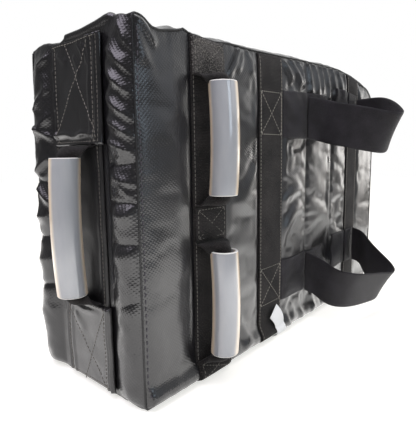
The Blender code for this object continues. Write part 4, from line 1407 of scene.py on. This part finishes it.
# Layers on the gripped end. Hems: the edge they follow, how far in, their height and half width
STRIP_HEMS = (
    (0, 0.0025, 0.0009, 0.0022), (0, 0.0085, 0.0007, 0.0026),
    (1, 0.0025, 0.0009, 0.0022), (1, 0.0085, 0.0007, 0.0026),
)
UPPER_PATCH_HEMS = (
    (0, 0.0030, 0.0012, 0.0019), (0, 0.0055, -0.0006, 0.0012), (0, 0.0082, 0.0012, 0.0017),
    (0, 0.0175, 0.0011, 0.0024),
)
LOWER_PATCH_HEMS = (
    (0, 0.0022, 0.0022, 0.0020), (0, 0.0052, -0.0006, 0.0012), (0, 0.0080, 0.0012, 0.0020),
    (1, 0.0030, 0.0012, 0.0022), (1, 0.0070, -0.0008, 0.0016), (1, 0.0125, 0.0012, 0.0030),
)
# Folds of the patches: (depth, height) places, height and half width
UPPER_PATCH_FOLDS = (
    (((-0.012, 0.358), (-0.018, 0.350), (-0.021, 0.340)), 0.0014, 0.0020),
    (((-0.020, 0.356), (-0.025, 0.346), (-0.027, 0.334)), 0.0014, 0.0020),
    (((-0.004, 0.346), (-0.010, 0.336), (-0.012, 0.322)), 0.0010, 0.0030),
    (((0.024, 0.352), (0.014, 0.345), (0.006, 0.344)), 0.0010, 0.0030),
)
LOWER_PATCH_FOLDS = (
    (((0.028, 0.090), (-0.004, 0.087), (-0.032, 0.091)), 0.0026, 0.0032),
    (((0.016, 0.078), (0.006, 0.068), (-0.002, 0.060)), 0.0012, 0.0060),
    (((-0.010, 0.030), (-0.020, 0.022), (-0.030, 0.020)), -0.0010, 0.0060),
)


def end_span(node):
    """A node's stretch across the gripped end and up it."""
    low, high = corners(node)
    return (low[1], high[1]), (low[2], high[2])


def on_end(depth, height, lift):
    """Points at a stand-off from the level middle of the gripped end."""
    out = end_rise(height) * end_bulge(depth)
    return np.stack([NEAR_END - out - lift, depth, height], axis=-1)


def hem_relief(depth, span, hems):
    """Ridges along a layer's edges, and grooves where a height is below 0: the sum of the bells."""
    relief = np.zeros_like(depth)
    for edge, inset, rise, width in hems:
        centre = span[1] - inset if edge else span[0] + inset
        relief += rise * bell(depth, centre, width)
    return relief


def strip_relief(depth, height, span, heights):
    """A strip with a turned hem along both edges and small bulges between its stitches."""
    bulges = 0.0005 * (1 + soft_noise(depth / 0.012, height / 0.018, 81))
    return hem_relief(depth, span, STRIP_HEMS) + bulges


def upper_patch_relief(depth, height, span, heights):
    """Twice-turned hems down both sides, a roll above the lower hem, and small creases."""
    relief = 0.0010 * (1 + soft_noise(depth / 0.022, height / 0.026, 82))
    relief += hem_relief(depth, span, UPPER_PATCH_HEMS)
    uneven = 0.7 + 0.6 * soft_noise(height / 0.007, depth, 84)
    relief += 0.0016 * bell(depth, span[1] - 0.0028, 0.0022) * uneven
    roll = heights[0] + 0.0115 + 0.0016 * soft_noise(depth / 0.017, depth * 0 + 0.3, 85)
    full = 0.0024 + 0.0010 * soft_noise(depth / 0.012, depth * 0 + 0.7, 86)
    inwards = bump_between(depth, span[0] + 0.006, span[0] + 0.020)
    relief += full * bell(height, roll, 0.0030) * inwards
    relief += 0.0010 * bell(height, heights[0] + 0.0018, 0.0018)
    relief += 0.0012 * bell(height, heights[1] - 0.0016, 0.0016)
    for line, rise, width in UPPER_PATCH_FOLDS:
        relief += fold(depth, height, line, rise, width)
    return relief


def lower_patch_relief(depth, height, span, heights):
    """A doubled hem down each side, a lifted fold at the top, and soft dents."""
    relief = 0.0009 * (1 + soft_noise(depth / 0.026, height / 0.022, 83))
    relief += hem_relief(depth, span, LOWER_PATCH_HEMS)
    relief += 0.0020 * bell(height, heights[1] - 0.0022, 0.0022)
    for line, rise, width in LOWER_PATCH_FOLDS:
        relief += fold(depth, height, line, rise, width)
    return relief


def add_end_layer(name, node, under, relief, material):
    """A vinyl layer sewn on the gripped end, with its own relief and rounded edges."""
    span, heights = end_span(node)
    across = spaced((span[0], span[1], 0.0011))
    up = spaced((heights[0], heights[1], 0.0014))
    depth, height = np.meshgrid(across, up)
    beside = np.minimum(depth - span[0], span[1] - depth)
    edge = np.minimum(beside, np.minimum(height - heights[0], heights[1] - height))
    rounded = VINYL * rounded_edge(edge, VINYL, 0.15)
    swell = np.clip(relief(depth, height, span, heights), 0, None)
    swell *= bump_between(edge, -0.0008, 0.0016)
    front = on_end(depth, height, under + GAP + rounded + swell)
    back = on_end(depth, height, under + GAP)
    uv = np.stack([depth, height], axis=-1)
    piece = add_sheet_piece(name, front, back, material, "shield", uv)
    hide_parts(node)


def add_end_layers():
    """The strip down the gripped end, and the two patches over its ends."""
    for name, node, under, relief, material in (
        ("end_strip_vinyl", "end_strip", 0.0, strip_relief, STRIP),
        ("end_patch_upper_vinyl", "end_patch_upper", GAP + VINYL, upper_patch_relief, TRIM),
        ("end_patch_lower_vinyl", "end_patch_lower", GAP + VINYL, lower_patch_relief, TRIM),
    ):
        add_end_layer(name, node, under, relief, material)


# Stitches: small barrels of thread laid along lines
STITCH_SIDES = 6
STITCH_RINGS = 4
LINE_POINTS = 60
LONG_LINE_POINTS = 200
HEM_INSET = 0.003
BOX_INSET = 0.004


def stitch_shape(length, radius):
    """A barrel along X: circles whose radius is round at both ends."""
    share = np.linspace(-1, 1, STITCH_RINGS + 2)
    swell = np.sqrt(np.clip(1 - share**4, 0.0, 1)) * radius
    swell[[0, -1]] = 0.25 * radius
    turn = np.linspace(0, 2 * math.pi, STITCH_SIDES, endpoint=False)
    x = np.repeat(share * length / 2, STITCH_SIDES)
    y = (swell[:, None] * np.cos(turn)[None, :]).ravel()
    z = (swell[:, None] * np.sin(turn)[None, :]).ravel()
    return np.stack([x, y, z], axis=1)


def stitch_line(points, normals, pitch, length, radius):
    """Points of every stitch along a line of points on a surface, with its outward normals."""
    run = run_along(points)
    count = max(1, int(run[-1] / pitch))
    at = (np.arange(count) + 0.5) * run[-1] / count
    middle, ahead, behind, out = (
        np.stack([np.interp(place, run, field[:, k]) for k in range(3)], axis=1)
        for place, field in (
            (at, points), (at + length / 2, points), (at - length / 2, points), (at, normals)
        )
    )
    out = unit(out)
    forward = unit(ahead - behind)
    side = unit(np.cross(out, forward))
    out = np.cross(forward, side)
    shape = stitch_shape(length, radius)
    return (
        middle[:, None, :]
        + shape[None, :, 0:1] * forward[:, None, :]
        + shape[None, :, 1:2] * side[:, None, :]
        + shape[None, :, 2:3] * out[:, None, :]
    ).reshape(-1, 3)


def add_stitching(name, lines, material, pitch=0.0044, length=0.0034, radius=0.00042):
    """All the stitches of one seam as one piece; lines are (points, normals) pairs."""
    points = np.concatenate([stitch_line(p, n, pitch, length, radius) for p, n in lines])
    per = (STITCH_RINGS + 2) * STITCH_SIDES
    count = len(points) // per
    walls = grid_faces(STITCH_RINGS + 2, STITCH_SIDES, wrap_columns=True)
    first = np.arange(STITCH_SIDES)[None, ::-1]
    last = np.arange(per - STITCH_SIDES, per)[None, :]
    shift = (np.arange(count) * per)[:, None, None]
    faces = [(shift + group[None]).reshape(-1, group.shape[1]) for group in (walls, first, last)]
    piece = add_piece(name, points, faces, material, "shield")


def face_line(ends, lift, count=LINE_POINTS):
    """A straight line on the user's face, lifted off it."""
    along = np.linspace(ends[0][0], ends[1][0], count)
    height = np.linspace(ends[0][1], ends[1][1], count)
    points = on_face(along, height, lift)
    return points, np.tile((0.0, -1.0, 0.0), (count, 1))


def end_line(ends, lift, relief, span, heights):
    """A straight line on a layer of the gripped end, lifted by that layer's own relief."""
    depth = np.linspace(ends[0][0], ends[1][0], LINE_POINTS)
    height = np.linspace(ends[0][1], ends[1][1], LINE_POINTS)
    swell = np.clip(relief(depth, height, span, heights), 0, None)
    points = on_end(depth, height, lift + swell)
    return points, np.tile((-1.0, 0.0, 0.0), (LINE_POINTS, 1))


def box_lines(span, heights):
    """A sewn box and its diagonals, as pairs of corners."""
    (a, b), (low, high) = span, heights
    a, b, low, high = a + BOX_INSET, b - BOX_INSET, low + BOX_INSET, high - BOX_INSET
    ring = ((a, low), (b, low), (b, high), (a, high))
    lines = [(corner, ring[(k + 1) % 4]) for k, corner in enumerate(ring)]
    return lines + [((b, high), (a, low)), ((a, high), (b, low))]


def add_face_stitching():
    """A row along each edge of the bands, and a box with its cross on each anchor."""
    for name, node, thread in FACE_BANDS:
        (a, b), (low, high) = face_span(node)
        low, high = low + HEM_INSET, high - HEM_INSET
        lines = [
            face_line(((x, low), (x, high)), GAP + WEBBING, LONG_LINE_POINTS)
            for x in (a + HEM_INSET, b - HEM_INSET)
        ]
        add_stitching(f"{name}_stitching", lines, thread)
    for part, _ in ANCHORS:
        span, heights = face_span(f"grip_anchor_{part}")
        lift = 2 * (GAP + WEBBING)
        lines = [face_line(ends, lift) for ends in box_lines(span, heights)]
        add_stitching(f"anchor_{part}_stitching", lines, THREAD)


# The crosses over the patches, as pairs of (depth, height), and the rows down their hems
UPPER_PATCH_LINES = (
    ((0.012, 0.3615), (-0.040, 0.2670)),
    ((-0.030, 0.3590), (0.032, 0.2740)),
)
LOWER_PATCH_LINES = (
    ((0.032, 0.0880), (-0.037, 0.0050)),
    ((-0.036, 0.0920), (0.007, 0.0040)),
)
STRIP_ROW = 0.0056
UPPER_PATCH_ROWS = (0.0055, 0.0130, 0.0065)
LOWER_PATCH_ROWS = (0.0052, 0.0120, 0.0065)


def add_end_stitching():
    """Seams of the strip and the patches; each stitch lies on the finished layer below it."""
    span, heights = end_span("end_strip")
    lines = []
    for y in (span[0] + STRIP_ROW, span[1] - STRIP_ROW):
        ends = ((y, heights[0] + HEM_INSET), (y, heights[1] - HEM_INSET))
        lines.append(end_line(ends, GAP + VINYL, strip_relief, span, heights))
    add_stitching("end_strip_stitching", lines, THREAD)
    for part, cross, relief, rows in (
        ("upper", UPPER_PATCH_LINES, upper_patch_relief, UPPER_PATCH_ROWS),
        ("lower", LOWER_PATCH_LINES, lower_patch_relief, LOWER_PATCH_ROWS),
    ):
        span, heights = end_span(f"end_patch_{part}")
        low, high = heights[0] + HEM_INSET, heights[1] - HEM_INSET
        ends = list(cross)
        for y in (span[0] + rows[0], span[0] + rows[1], span[1] - rows[2]):
            ends.append(((y, low), (y, high)))
        for z in (heights[0] + 0.004, high):
            ends.append(((span[0] + HEM_INSET, z), (span[1] - HEM_INSET, z)))
        lines = [end_line(pair, 2 * (GAP + VINYL), relief, span, heights) for pair in ends]
        add_stitching(f"end_patch_{part}_stitching", lines, THREAD, radius=0.0005)


# Hoses
HOSE_SIDES = 56
HOSE_STEPS = 26
HOSE_WALL = 0.0028
LIP = 0.0007


def hose_axis(node, outward):
    """A hose's line as the frame has it.

    Gives the axis that it bows along, its radius and bow, the place of its ends on that axis, the
    place of its middle on the other, and its low and high ends.
    """
    low, high = corners(node)
    k = 1 if outward[1] else 0
    radius = (high[1 - k] - low[1 - k]) / 2
    bow = (high[k] - low[k]) - 2 * radius
    base = high[k] - radius
    middle = (high[1 - k] + low[1 - k]) / 2
    return k, radius, bow, base, middle, low[2], high[2]


def hose_line(node, outward, heights):
    """Points on the hose's centre line: a parabola bowed outwards between its ends."""
    k, _, bow, base, middle, low, high = hose_axis(node, outward)
    share = np.clip((2 * heights - low - high) / (high - low), -1, 1)
    points = np.zeros((len(heights), 3))
    points[:, k] = base - bow * (1 - share**2)
    points[:, 1 - k] = middle
    points[:, 2] = heights
    return points


def add_hose(name, node, body, outward):
    """A bent tube with a wall: rings round its line, up the outside and down the bore.

    Both rims are rounded over by a lip; the cut faces and lips have the finish of a cut.
    """
    _, radius, _, _, _, low, high = hose_axis(node, outward)
    rise = high - low
    up = np.concatenate([[0.0, LIP, 2 * LIP], np.linspace(0, rise, HOSE_STEPS)[1:-1]])
    up = low + np.concatenate([up, [rise - 2 * LIP, rise - LIP, rise]])
    outer = np.full(len(up), radius)
    outer[[0, -1]] -= 0.6 * LIP
    inner = np.full(len(up), radius - HOSE_WALL)
    inner[[0, -1]] += 0.6 * LIP
    heights = np.concatenate([up, up[::-1]])
    radii = np.concatenate([outer, inner])
    turn = np.linspace(0, 2 * math.pi, HOSE_SIDES, endpoint=False)
    points = np.repeat(hose_line(node, outward, heights)[:, None, :], HOSE_SIDES, axis=1)
    points[..., 0] += radii[:, None] * np.cos(turn)[None, :]
    points[..., 1] += radii[:, None] * np.sin(turn)[None, :]
    faces = grid_faces(len(heights), HOSE_SIDES, wrap_rows=True, wrap_columns=True)
    piece = add_piece(name, points, [faces], HOSE, body)
    piece.data.materials.append(HOSE_RIM)
    ring = np.repeat(np.arange(len(heights)), HOSE_SIDES)
    last = len(heights) - 1
    rims = np.isin(ring, (0, len(up) - 2, len(up) - 1, len(up), last - 1, last))
    piece.data.polygons.foreach_set("material_index", rims.astype(np.int32))
    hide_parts(node)


# The grips' webbing: its width at the anchor and in the hose, and how far round it curls
LEG_WIDTHS = (0.046, 0.040)
LEG_CURL = 3.6
LEG_STEPS = 22
LEG_LENGTH = 0.05
LEG_SEAT = 0.0008
LEG_INSIDE = 0.016
INSIDE_STEPS = 6
CORE_WIDTH = 0.030
CORE_CURL = 3.4
CORE_STEPS = 30
CORE_LENGTH = 0.1
CORE_INSET = 0.012
GRIP_WEBBING = 0.0014
WEBBING_COLUMNS = 21
GRIPS = (
    ("upper_grip", (0.0, -1.0, 0.0)),
    ("lower_grip", (0.0, -1.0, 0.0)),
    ("end_grip", (-1.0, 0.0, 0.0)),
)


def curled(width, turn):
    """Across a webbing that is curled by turn radians: flat for 0, its width kept."""
    across = np.linspace(-0.5, 0.5, WEBBING_COLUMNS) * width
    if turn < 1e-3:
        return across, np.zeros_like(across)
    radius = width / turn
    angle = across / radius
    return radius * np.sin(angle), radius * (1 - np.cos(angle))


def curled_rows(line, side, outs, widths, turns):
    """Points across a webbing at each place of a line, curled and centred about it."""
    rows = np.empty((len(line), WEBBING_COLUMNS, 3))
    for k, (width, turn) in enumerate(zip(widths, turns)):
        u, v = curled(width, turn)
        v = v - v.max() * 0.5
        rows[k] = line[k] + u[:, None] * side - v[:, None] * outs[k]
    return rows


def add_grip_webbing(name, outward):
    """The webbing of a grip: a leg at each end that curls as it enters the hose, and a core."""
    out = np.array(outward)
    side = np.cross(out, (0.0, 0.0, 1.0))
    hose = f"{name}_hose"
    k, _, _, base, middle, low, high = hose_axis(hose, outward)
    for part, way, end_z in (("lower", 1.0, low), ("upper", -1.0, high)):
        node = f"{name}_{part}_leg"
        leg_low, leg_high = corners(node)
        root_z = leg_low[2] if part == "lower" else leg_high[2]
        root_k = leg_high[k] - LEG_SEAT
        t = np.linspace(0, 1, LEG_STEPS)
        angle = t * math.pi / 2
        inside = np.linspace(0, LEG_INSIDE, INSIDE_STEPS + 1)[1:]
        line = np.zeros((LEG_STEPS + INSIDE_STEPS, 3))
        line[:LEG_STEPS, 1 - k] = middle
        line[:LEG_STEPS, k] = root_k + (base - root_k) * np.sin(angle)
        line[:LEG_STEPS, 2] = end_z + (root_z - end_z) * np.cos(angle)
        line[LEG_STEPS:] = hose_line(hose, outward, end_z + way * inside)
        share = np.concatenate([t, np.ones(INSIDE_STEPS)])
        turns = LEG_CURL * bump_between(share, 0.15, 0.95)
        widths = LEG_WIDTHS[0] + (LEG_WIDTHS[1] - LEG_WIDTHS[0]) * share
        tangent = unit(np.gradient(line, axis=0))
        normal = unit(np.cross(np.tile(side, (len(line), 1)), tangent))
        facing = np.sign(normal @ out)
        facing[facing == 0] = 1
        normal *= facing[:, None]
        front = curled_rows(line, side, normal, widths, turns)
        back = front - GRIP_WEBBING * normal[:, None, :]
        across = np.linspace(0, LEG_WIDTHS[0], WEBBING_COLUMNS)
        uv = sheet_uv(across, np.linspace(0, LEG_LENGTH, len(line)))
        piece = add_sheet_piece(f"{name}_{part}_leg_webbing", front, back, BAND, None, uv)
        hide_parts(node)
        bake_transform(piece)
    line = hose_line(hose, outward, np.linspace(low + CORE_INSET, high - CORE_INSET, CORE_STEPS))
    outs = np.tile(out, (CORE_STEPS, 1))
    widths, turns = np.full(CORE_STEPS, CORE_WIDTH), np.full(CORE_STEPS, CORE_CURL)
    front = curled_rows(line, side, outs, widths, turns)
    back = front - GRIP_WEBBING * out
    across = np.linspace(0, CORE_WIDTH, WEBBING_COLUMNS)
    uv = sheet_uv(across, np.linspace(0, CORE_LENGTH, CORE_STEPS))
    piece = add_sheet_piece(f"{name}_core_webbing", front, back, BAND, name, uv)
    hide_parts(f"{name}_core")


def add_grips():
    """Each hose turns on its own body, and its core webbing swings with the grip's; the legs are on
    no body.
    """
    for name, outward in GRIPS:
        add_hose(f"{name}_tube", f"{name}_hose", name.replace("grip", "hose"), outward)
        add_grip_webbing(name, outward)


def ribbon(centres, across, count, width, columns):
    """A strap on a spline through its centres, that lies along across at each.

    Gives its points, its middle line, its normals and the shares of its width, from -0.5 to 0.5.
    """
    line = spline(np.concatenate([centres, across], axis=1), count)
    middle, across = line[:, :3], unit(line[:, 3:])
    normal = unit(np.cross(np.gradient(middle, axis=0), across))
    share = np.linspace(-0.5, 0.5, columns)
    sheet = middle[:, None, :] + width * share[None, :, None] * across[:, None, :]
    return sheet, middle, normal[:, None, :], share


# Arm loops, along the frame's own stations
LOOP_WIDTH = 0.058
LOOP_WEBBING = 0.0018
LOOP_STEPS = 150
LOOP_EDGE = 0.0011
LOOP_CUP = 0.0016
LOOP_SEAT = 0.0013
# Each: its reach and its sag, then its stations as shares (along, reach, sag) and (X, Y) leans
UPPER_LOOP = (
    0.1035, 0.027,
    (
        ((0.080, 0.245, 0.222), (0.02, 0.22)),
        ((0.085, 0.377, 0.370), (0.06, 0.25)),
        ((0.114, 0.623, 0.593), (0.10, 0.32)),
        ((0.182, 0.868, 0.852), (0.00, 0.42)),
        ((0.267, 1.000, 1.000), (-0.05, 0.45)),
        ((0.386, 1.000, 0.963), (-0.08, 0.42)),
        ((0.591, 0.868, 0.630), (-0.12, 0.30)),
        ((0.795, 0.679, 0.259), (-0.15, 0.14)),
        ((0.920, 0.472, 0.037), (-0.12, 0.06)),
        ((0.989, 0.208, 0.000), (-0.05, 0.00)),
    ),
)
LOWER_LOOP = (
    0.0895, 0.035,
    (
        ((0.028, 0.238, 0.162), (-0.05, 0.22)),
        ((0.040, 0.524, 0.514), (-0.05, 0.28)),
        ((0.114, 0.714, 0.676), (-0.06, 0.33)),
        ((0.250, 0.833, 0.811), (-0.07, 0.38)),
        ((0.443, 0.952, 0.946), (-0.10, 0.48)),
        ((0.580, 1.000, 1.000), (-0.15, 0.56)),
        ((0.659, 0.929, 0.919), (-0.18, 0.52)),
        ((0.761, 0.667, 0.568), (-0.20, 0.38)),
        ((0.886, 0.405, 0.243), (-0.15, 0.20)),
        ((0.977, 0.214, 0.054), (-0.06, 0.08)),
    ),
)


def add_loop(name, shape):
    """An arm loop: one strap carried along a spline through the frame's stations."""
    reach, sag, route = shape
    near, far = (
        np.array([high[0] - LOOP_WEBBING, low[1] - LOOP_SEAT, (low[2] + high[2]) / 2])
        for low, high in (corners(f"{name}_near_root"), corners(f"{name}_far_root"))
    )
    stations = np.array([place for place, _ in route])
    leans = np.array([lean for _, lean in route])
    centres = near + stations[:, :1] * (far - near)
    centres[:, 1] = BACK_PLANE - reach * stations[:, 1]
    centres[:, 2] = near[2] + stations[:, 0] * (far[2] - near[2]) - sag * stations[:, 2]
    across = np.stack([leans[:, 0], -leans[:, 1], np.ones(len(leans))], axis=1)
    upright = [(0.0, 0.0, 1.0)]
    centres = np.concatenate([[near], centres, [far]])
    across = np.concatenate([upright, across, upright])
    sheet, middle, normal, share = ribbon(centres, across, LOOP_STEPS, LOOP_WIDTH, 25)
    edge = (0.5 - np.abs(share)) * LOOP_WIDTH
    thick = LOOP_WEBBING * rounded_edge(edge, LOOP_EDGE, 0.15)[None, :, None]
    run = run_along(middle)
    cup = LOOP_CUP * (2 * share[None, :]) ** 2 * bump_between(run, 0.02, 0.06)[:, None]
    sheet = sheet + cup[:, :, None] * normal
    front = sheet + thick / 2 * normal
    back = sheet - thick / 2 * normal
    uv = sheet_uv(share * LOOP_WIDTH, run)
    piece = add_sheet_piece(f"{name}_strap", front, back, STRAP, None, uv)
    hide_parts(name, f"{name}_near_leg", f"{name}_far_leg")
    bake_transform(piece)
    over = {"far_root": GAP + WEBBING}
    for part in ("near_root", "near_tuck", "far_root", "far_tuck"):
        node = f"{name}_{part}"
        under = over.get(part, 0.0)
        add_face_layer(f"{node}_strap", node, under, LOOP_WEBBING, STRAP)


def add_loops():
    """Both arm loops, and the box sewn on the near band over each near root."""
    add_loop("upper_loop", UPPER_LOOP)
    add_loop("lower_loop", LOWER_LOOP)
    span, _ = face_span("loop_band_near")
    lines = []
    for name in ("upper_loop", "lower_loop"):
        _, heights = face_span(f"{name}_near_root")
        lines += [face_line(ends, GAP + WEBBING) for ends in box_lines(span, heights)]
    add_stitching("loop_box_stitching", lines, PALE_THREAD, radius=0.0005)


# Care label: its tip's height when it hangs, its stations as shares of that and their tilt
LABEL_TIP = 0.0405
LABEL_ROUTE = (
    ((0.000, 0.000, 0.0494), 0),
    ((0.012, 0.074, 0.222), 5),
    ((-0.025, 0.148, 0.432), 17),
    ((-0.123, 0.178, 0.654), 32),
    ((-0.259, 0.163, 0.852), 42),
    ((-0.383, 0.123, 1.000), 45),
)
LABEL_WIDTH = 0.022
LABEL_SHEET = 0.0005
LABEL_STEPS = 40
# Room over the band and its stitches, and more up the tape, since it can press in by 2 degrees
LABEL_ROOM = 0.0030
LABEL_PRESS = 0.058


def add_label():
    """A blank tape on a spline through the frame's stations, its width turned by each tilt.

    Where the cover bulges by its lower seam, the tape lies on it.
    """
    high = corners("care_label")[1]
    x, y, z = (np.array([place for place, _ in LABEL_ROUTE]) * LABEL_TIP).T
    tilt = np.radians([angle for _, angle in LABEL_ROUTE])
    centres = np.stack([high[0] - LABEL_WIDTH / 2 + x, high[1] - LABEL_SHEET - y, z], axis=1)
    across = np.stack([np.cos(tilt), np.zeros_like(tilt), np.sin(tilt)], axis=1)
    sheet, _, normal, share = ribbon(centres, across, LABEL_STEPS, LABEL_WIDTH, 15)
    room = LABEL_ROOM + LABEL_PRESS * sheet[..., 2]
    cloth = on_face(sheet[..., 0] - NEAR_END, sheet[..., 2], room)
    sheet[..., 1] = np.minimum(sheet[..., 1], cloth[..., 1])
    front = sheet + LABEL_SHEET / 2 * normal
    back = sheet - LABEL_SHEET / 2 * normal
    uv = sheet_uv(share * LABEL_WIDTH, np.linspace(0, LABEL_TIP, LABEL_STEPS))
    piece = add_sheet_piece("care_label_tape", front, back, TAPE, "label", uv)
    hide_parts("care_label")


# Welts in the seams round both faces, and the seams' stitches
WELT_STEP = 0.004
WELT_RADIUS = 0.0011
WELT_SIDES = 10
SEAM_STITCH_TOP = 0.360
SEAM_STITCH_FOOT = 0.012
SEAM_STITCH_IN = 0.0035


def outline_path(depth):
    """The outline that both faces share, as a closed ring of points at a depth, going round."""
    quarter = np.linspace(0, math.pi / 2, 12)
    near, far = NEAR_RADIUS, FAR_RADIUS
    arcs = []
    for x, z, radius, first in (
        (LENGTH - far, far, far, -math.pi / 2),
        (LENGTH - far, WIDTH - far, far, 0.0),
        (near, WIDTH - near, near, math.pi / 2),
        (near, near, near, math.pi),
    ):
        angle = first + quarter
        arcs.append(np.stack([x + radius * np.cos(angle), z + radius * np.sin(angle)], 1))
    ring = np.concatenate(arcs + [arcs[0][:1]])
    run = run_along(ring)
    at = np.linspace(0, run[-1], round(run[-1] / WELT_STEP), endpoint=False)
    ring = np.stack([np.interp(at, run, ring[:, k]) for k in range(2)], 1)
    middle = np.array([LENGTH / 2, WIDTH / 2])
    ring = middle + (ring - middle) * (1 - 2 * SEAM_INSET / np.array([LENGTH, WIDTH]))
    x, z = ring.T
    if depth > 0:
        x = x - seam_bow(z) * (1 - bump_between(x, 0.0, BOW_FADE))
    z = z + top_rise(x, np.full_like(x, depth)) * bump_between(z, WIDTH - TOP_FADE, WIDTH)
    return np.stack([NEAR_END + x, np.full_like(x, depth), z], axis=1), at


def add_welts():
    """A thin tube along each face's outline, in the groove between the face and the sides."""
    for name, depth in (
        ("welt_user_side", BACK_PLANE + SEAM_INSET),
        ("welt_struck_side", HALF_DEPTH - SEAM_INSET),
    ):
        centres, at = outline_path(depth)
        ahead = unit(np.roll(centres, -1, axis=0) - np.roll(centres, 1, axis=0))
        side = np.array([[0.0, 1.0, 0.0]])
        out = np.cross(ahead, side)
        turn = np.linspace(0, 2 * math.pi, WELT_SIDES, endpoint=False)
        points = (
            centres[:, None, :]
            + WELT_RADIUS * np.cos(turn)[None, :, None] * out[:, None, :]
            + WELT_RADIUS * np.sin(turn)[None, :, None] * side[:, None, :]
        )
        faces = grid_faces(len(centres), WELT_SIDES, wrap_rows=True, wrap_columns=True)
        uv = sheet_uv(turn * WELT_RADIUS, at).reshape(-1, 2)
        piece = add_piece(name, points, [faces], STRIP, "shield", uv)


def add_seam_stitching():
    """A row of long stitches on the user's face, close beside its seam with the gripped end."""
    height = np.linspace(SEAM_STITCH_FOOT, SEAM_STITCH_TOP, LONG_LINE_POINTS)
    points = on_face(SEAM_STITCH_IN, height, 0.0)
    lines = [(points, np.tile((-0.3, -1.0, 0.0), (LONG_LINE_POINTS, 1)))]
    add_stitching("end_seam_stitching", lines, BLACK_THREAD, 0.0068, 0.0044, 0.00085)


add_camera()
add_floor()
add_world()
add_lamps()
add_user_face()
add_strike_face()
add_sides()
add_foams()
add_bands()
add_end_layers()
add_face_stitching()
add_end_stitching()
add_grips()
add_loops()
add_label()
add_welts()
add_seam_stitching()
bpy.context.scene.view_settings.view_transform = "Standard"
